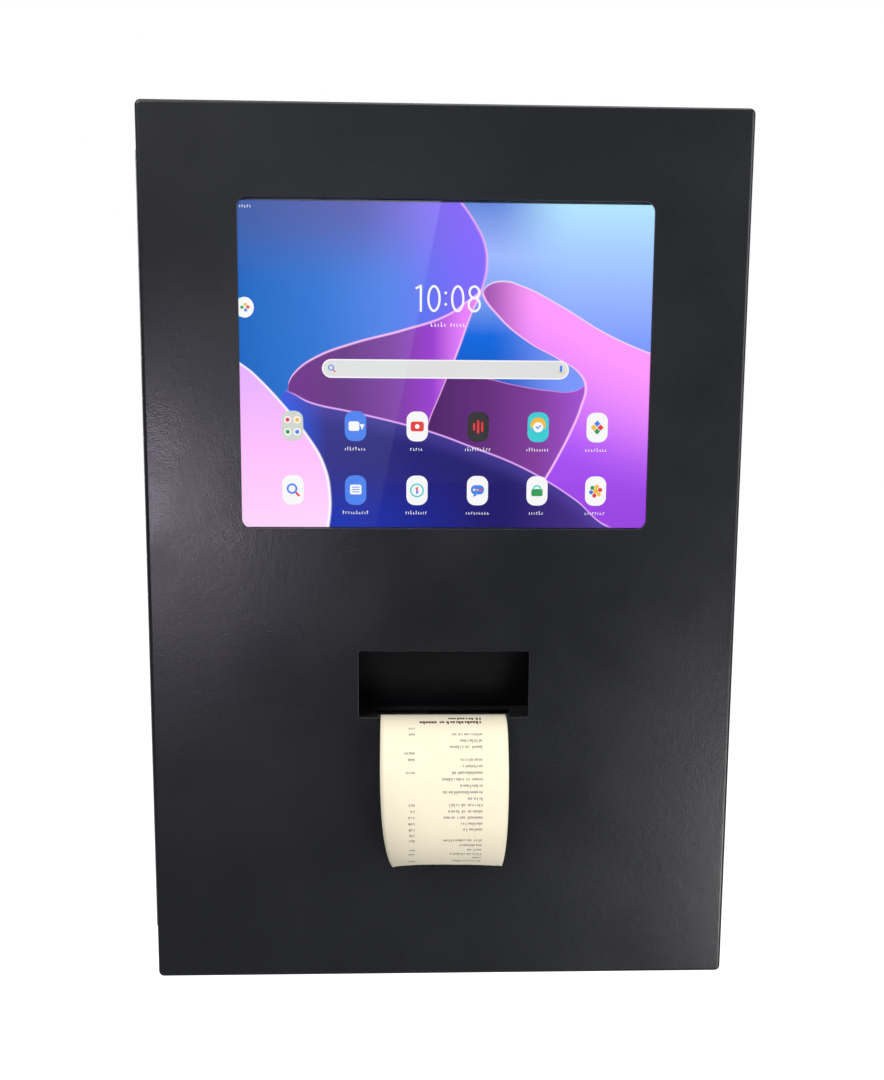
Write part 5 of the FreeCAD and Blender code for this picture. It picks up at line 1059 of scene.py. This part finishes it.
LINE_PITCH = 3.95 * MM
RIGHT_COLUMN = 23.5 * MM
LEFT_COLUMN = -18.7 * MM
HEADINGS = ((2, 9), (12, 2, 6))
PRINT_ROWS = (((), 3), ((8, 2, 2), 3), ((10,), 0), ((5, 2, 6), 0), ((), 5), ((10,), 3), ((9,), 0),
              ((11, 2), 4), ((5, 2, 10), 0), ((10,), 0), ((15, 2), 0), ((4, 2), 0), ((7, 2, 5), 3),
              ((7, 2, 5), 2), ((7, 4, 5), 3), ((10,), 3), ((6, 2), 3), ((), 3), ((4, 2, 10), 3),
              ((10,), 0), ((4, 2), 3), ((4, 2, 7), 3), ((4,), 0), ((6, 2, 4), 3), ((9, 8), 0))


def make_receipt_print():
    draw = random.Random(11)
    bold = bmesh.new()
    light = bmesh.new()
    along = SILL_ALONG + 5.0 * MM
    for words in HEADINGS:
        at = RIGHT_COLUMN
        for letters in words:
            at = print_word(bold, at, along, letters, 2.8 * MM, draw, 0.34)
        along += LINE_PITCH * 0.98
    along += LINE_PITCH * 0.35
    for words, left_letters in PRINT_ROWS:
        if along > RECEIPT_LENGTH - 2 * MM:
            break
        at = RIGHT_COLUMN
        for letters in words:
            at = print_word(light, at, along, letters, 2.15 * MM, draw, 0.17)
        if left_letters:
            print_word(light, LEFT_COLUMN, along, left_letters, 2.15 * MM, draw, 0.17)
        along += LINE_PITCH
    make_piece("receipt_heading_print", bold, INK_BROWN, "door")
    make_piece("receipt_line_print", light, INK_GREY, "door")


# ------------------------------------------------------------------ run
make_camera()
make_world()
make_floor()
make_softbox()
for light_facts in LIGHTS:
    soft_light(*light_facts)

BLACK_COAT = powder_coat("black_powder_coat", (0.0055, 0.0062, 0.0085), (0.0072, 0.0080, 0.0105),
                         (0.070, 0.072, 0.080), 0.29, 0.00022)
# The receipt pocket is the same black powder coat, made several times darker as painted shade for the dim
# recess behind the receipt opening.
POCKET_SHADE_COAT = powder_coat("pocket_coat_painted_shade", (0.0012, 0.0014, 0.0024), (0.0018, 0.0020, 0.0032),
                          (0.020, 0.020, 0.024), 0.45, 0.00020, 600.0, 0.16)
PAPER = paper("thermal_paper", (0.90, 0.83, 0.63))
INK_BROWN = plastic("heading_ink", (0.10, 0.065, 0.045), 0.7)
INK_GREY = plastic("line_ink", (0.19, 0.17, 0.15), 0.7)
SCREEN_COLOURS = screen_colours()

NODE_MATERIALS = {
    BLACK_COAT: ["back_box", "front_panel", "printer_shelf"],
    POCKET_SHADE_COAT: ["receipt_pocket"],
    foam("black_foam"): ["door_seal", "window_gasket", "tablet_pads"],
    zinc("galvanised_sheet"): ["lock_keeper", "lock_cam", "carrier_plate", "tablet_clips", "printer_frame",
                               "cutter_frame", "roll_holder"],
    metal("stainless_leaf", (0.55, 0.55, 0.54), 0.32, (900.0, 900.0, 20.0)): ["hinge_box_leaf",
                                                                             "hinge_door_leaf"],
    metal("bright_steel", (0.60, 0.60, 0.60), 0.28): ["platen_shaft", "cutter_blade"],
    metal("screw_steel", (0.50, 0.50, 0.51), 0.30): ["fasteners"],
    metal("lock_chrome", (0.72, 0.72, 0.73), 0.16, scratch=0.05): ["lock_barrel", "lock_plug"],
    metal("anodised_grey", (0.23, 0.25, 0.28), 0.38): ["tablet_shell", "tablet_power_button",
                                                       "tablet_volume_rocker"],
    glass("screen_glass"): ["tablet_glass"],
    wallpaper("screen_wallpaper"): ["tablet_display"],
    circuit_board("green_board"): ["tablet_electronics", "printer_board", "supply_board"],
    metal("brass", (0.62, 0.44, 0.18), 0.30): ["carrier_posts", "gear_bearings", "feed_pinion",
                                               "cutter_pinion", "inlet_pins"],
    metal("spring_wire", (0.58, 0.58, 0.58), 0.25): ["head_springs"],
    metal("head_metal", (0.36, 0.36, 0.37), 0.35): ["thermal_head"],
    metal("mill_aluminium", (0.66, 0.67, 0.68), 0.36): ["heat_sink", "supply_case", "supply_cover"],
    metal("motor_can", (0.46, 0.47, 0.48), 0.30): ["feed_motor", "cutter_motor"],
    plastic("green_plastic", (0.03, 0.28, 0.12), 0.42): ["head_lever", "feed_button"],
    plastic("white_nylon", (0.74, 0.74, 0.69), 0.5): ["platen_gear", "idler_gear", "cable_saddles"],
    plastic("black_plastic", (0.018, 0.018, 0.019), 0.45): ["mains_inlet", "power_rocker", "charger",
                                                            "cable_plugs"],
    plastic("black_rubber", (0.016, 0.016, 0.017), 0.75): ["platen_roller", "grommet", "supply_cable",
                                                           "printer_data_cable", "tablet_cable"],
    plastic("blue_wire", (0.03, 0.09, 0.42), 0.4): ["mains_wires"],
    PAPER: ["receipt", "paper_web"],
    cardboard("core_card"): ["roll_core"],
    rolled_paper("paper_roll_layers", (0.84, 0.82, 0.76)): ["paper_roll"],
}


def dress_nodes():
    for material, names in NODE_MATERIALS.items():
        for name in names:
            node = nodes_in[name]
            if not node.material_slots:
                node.data.materials.append(material)
            for slot in node.material_slots:
                slot.material = material


dress_nodes()
make_screen_contents()
make_receipt()
make_receipt_print()
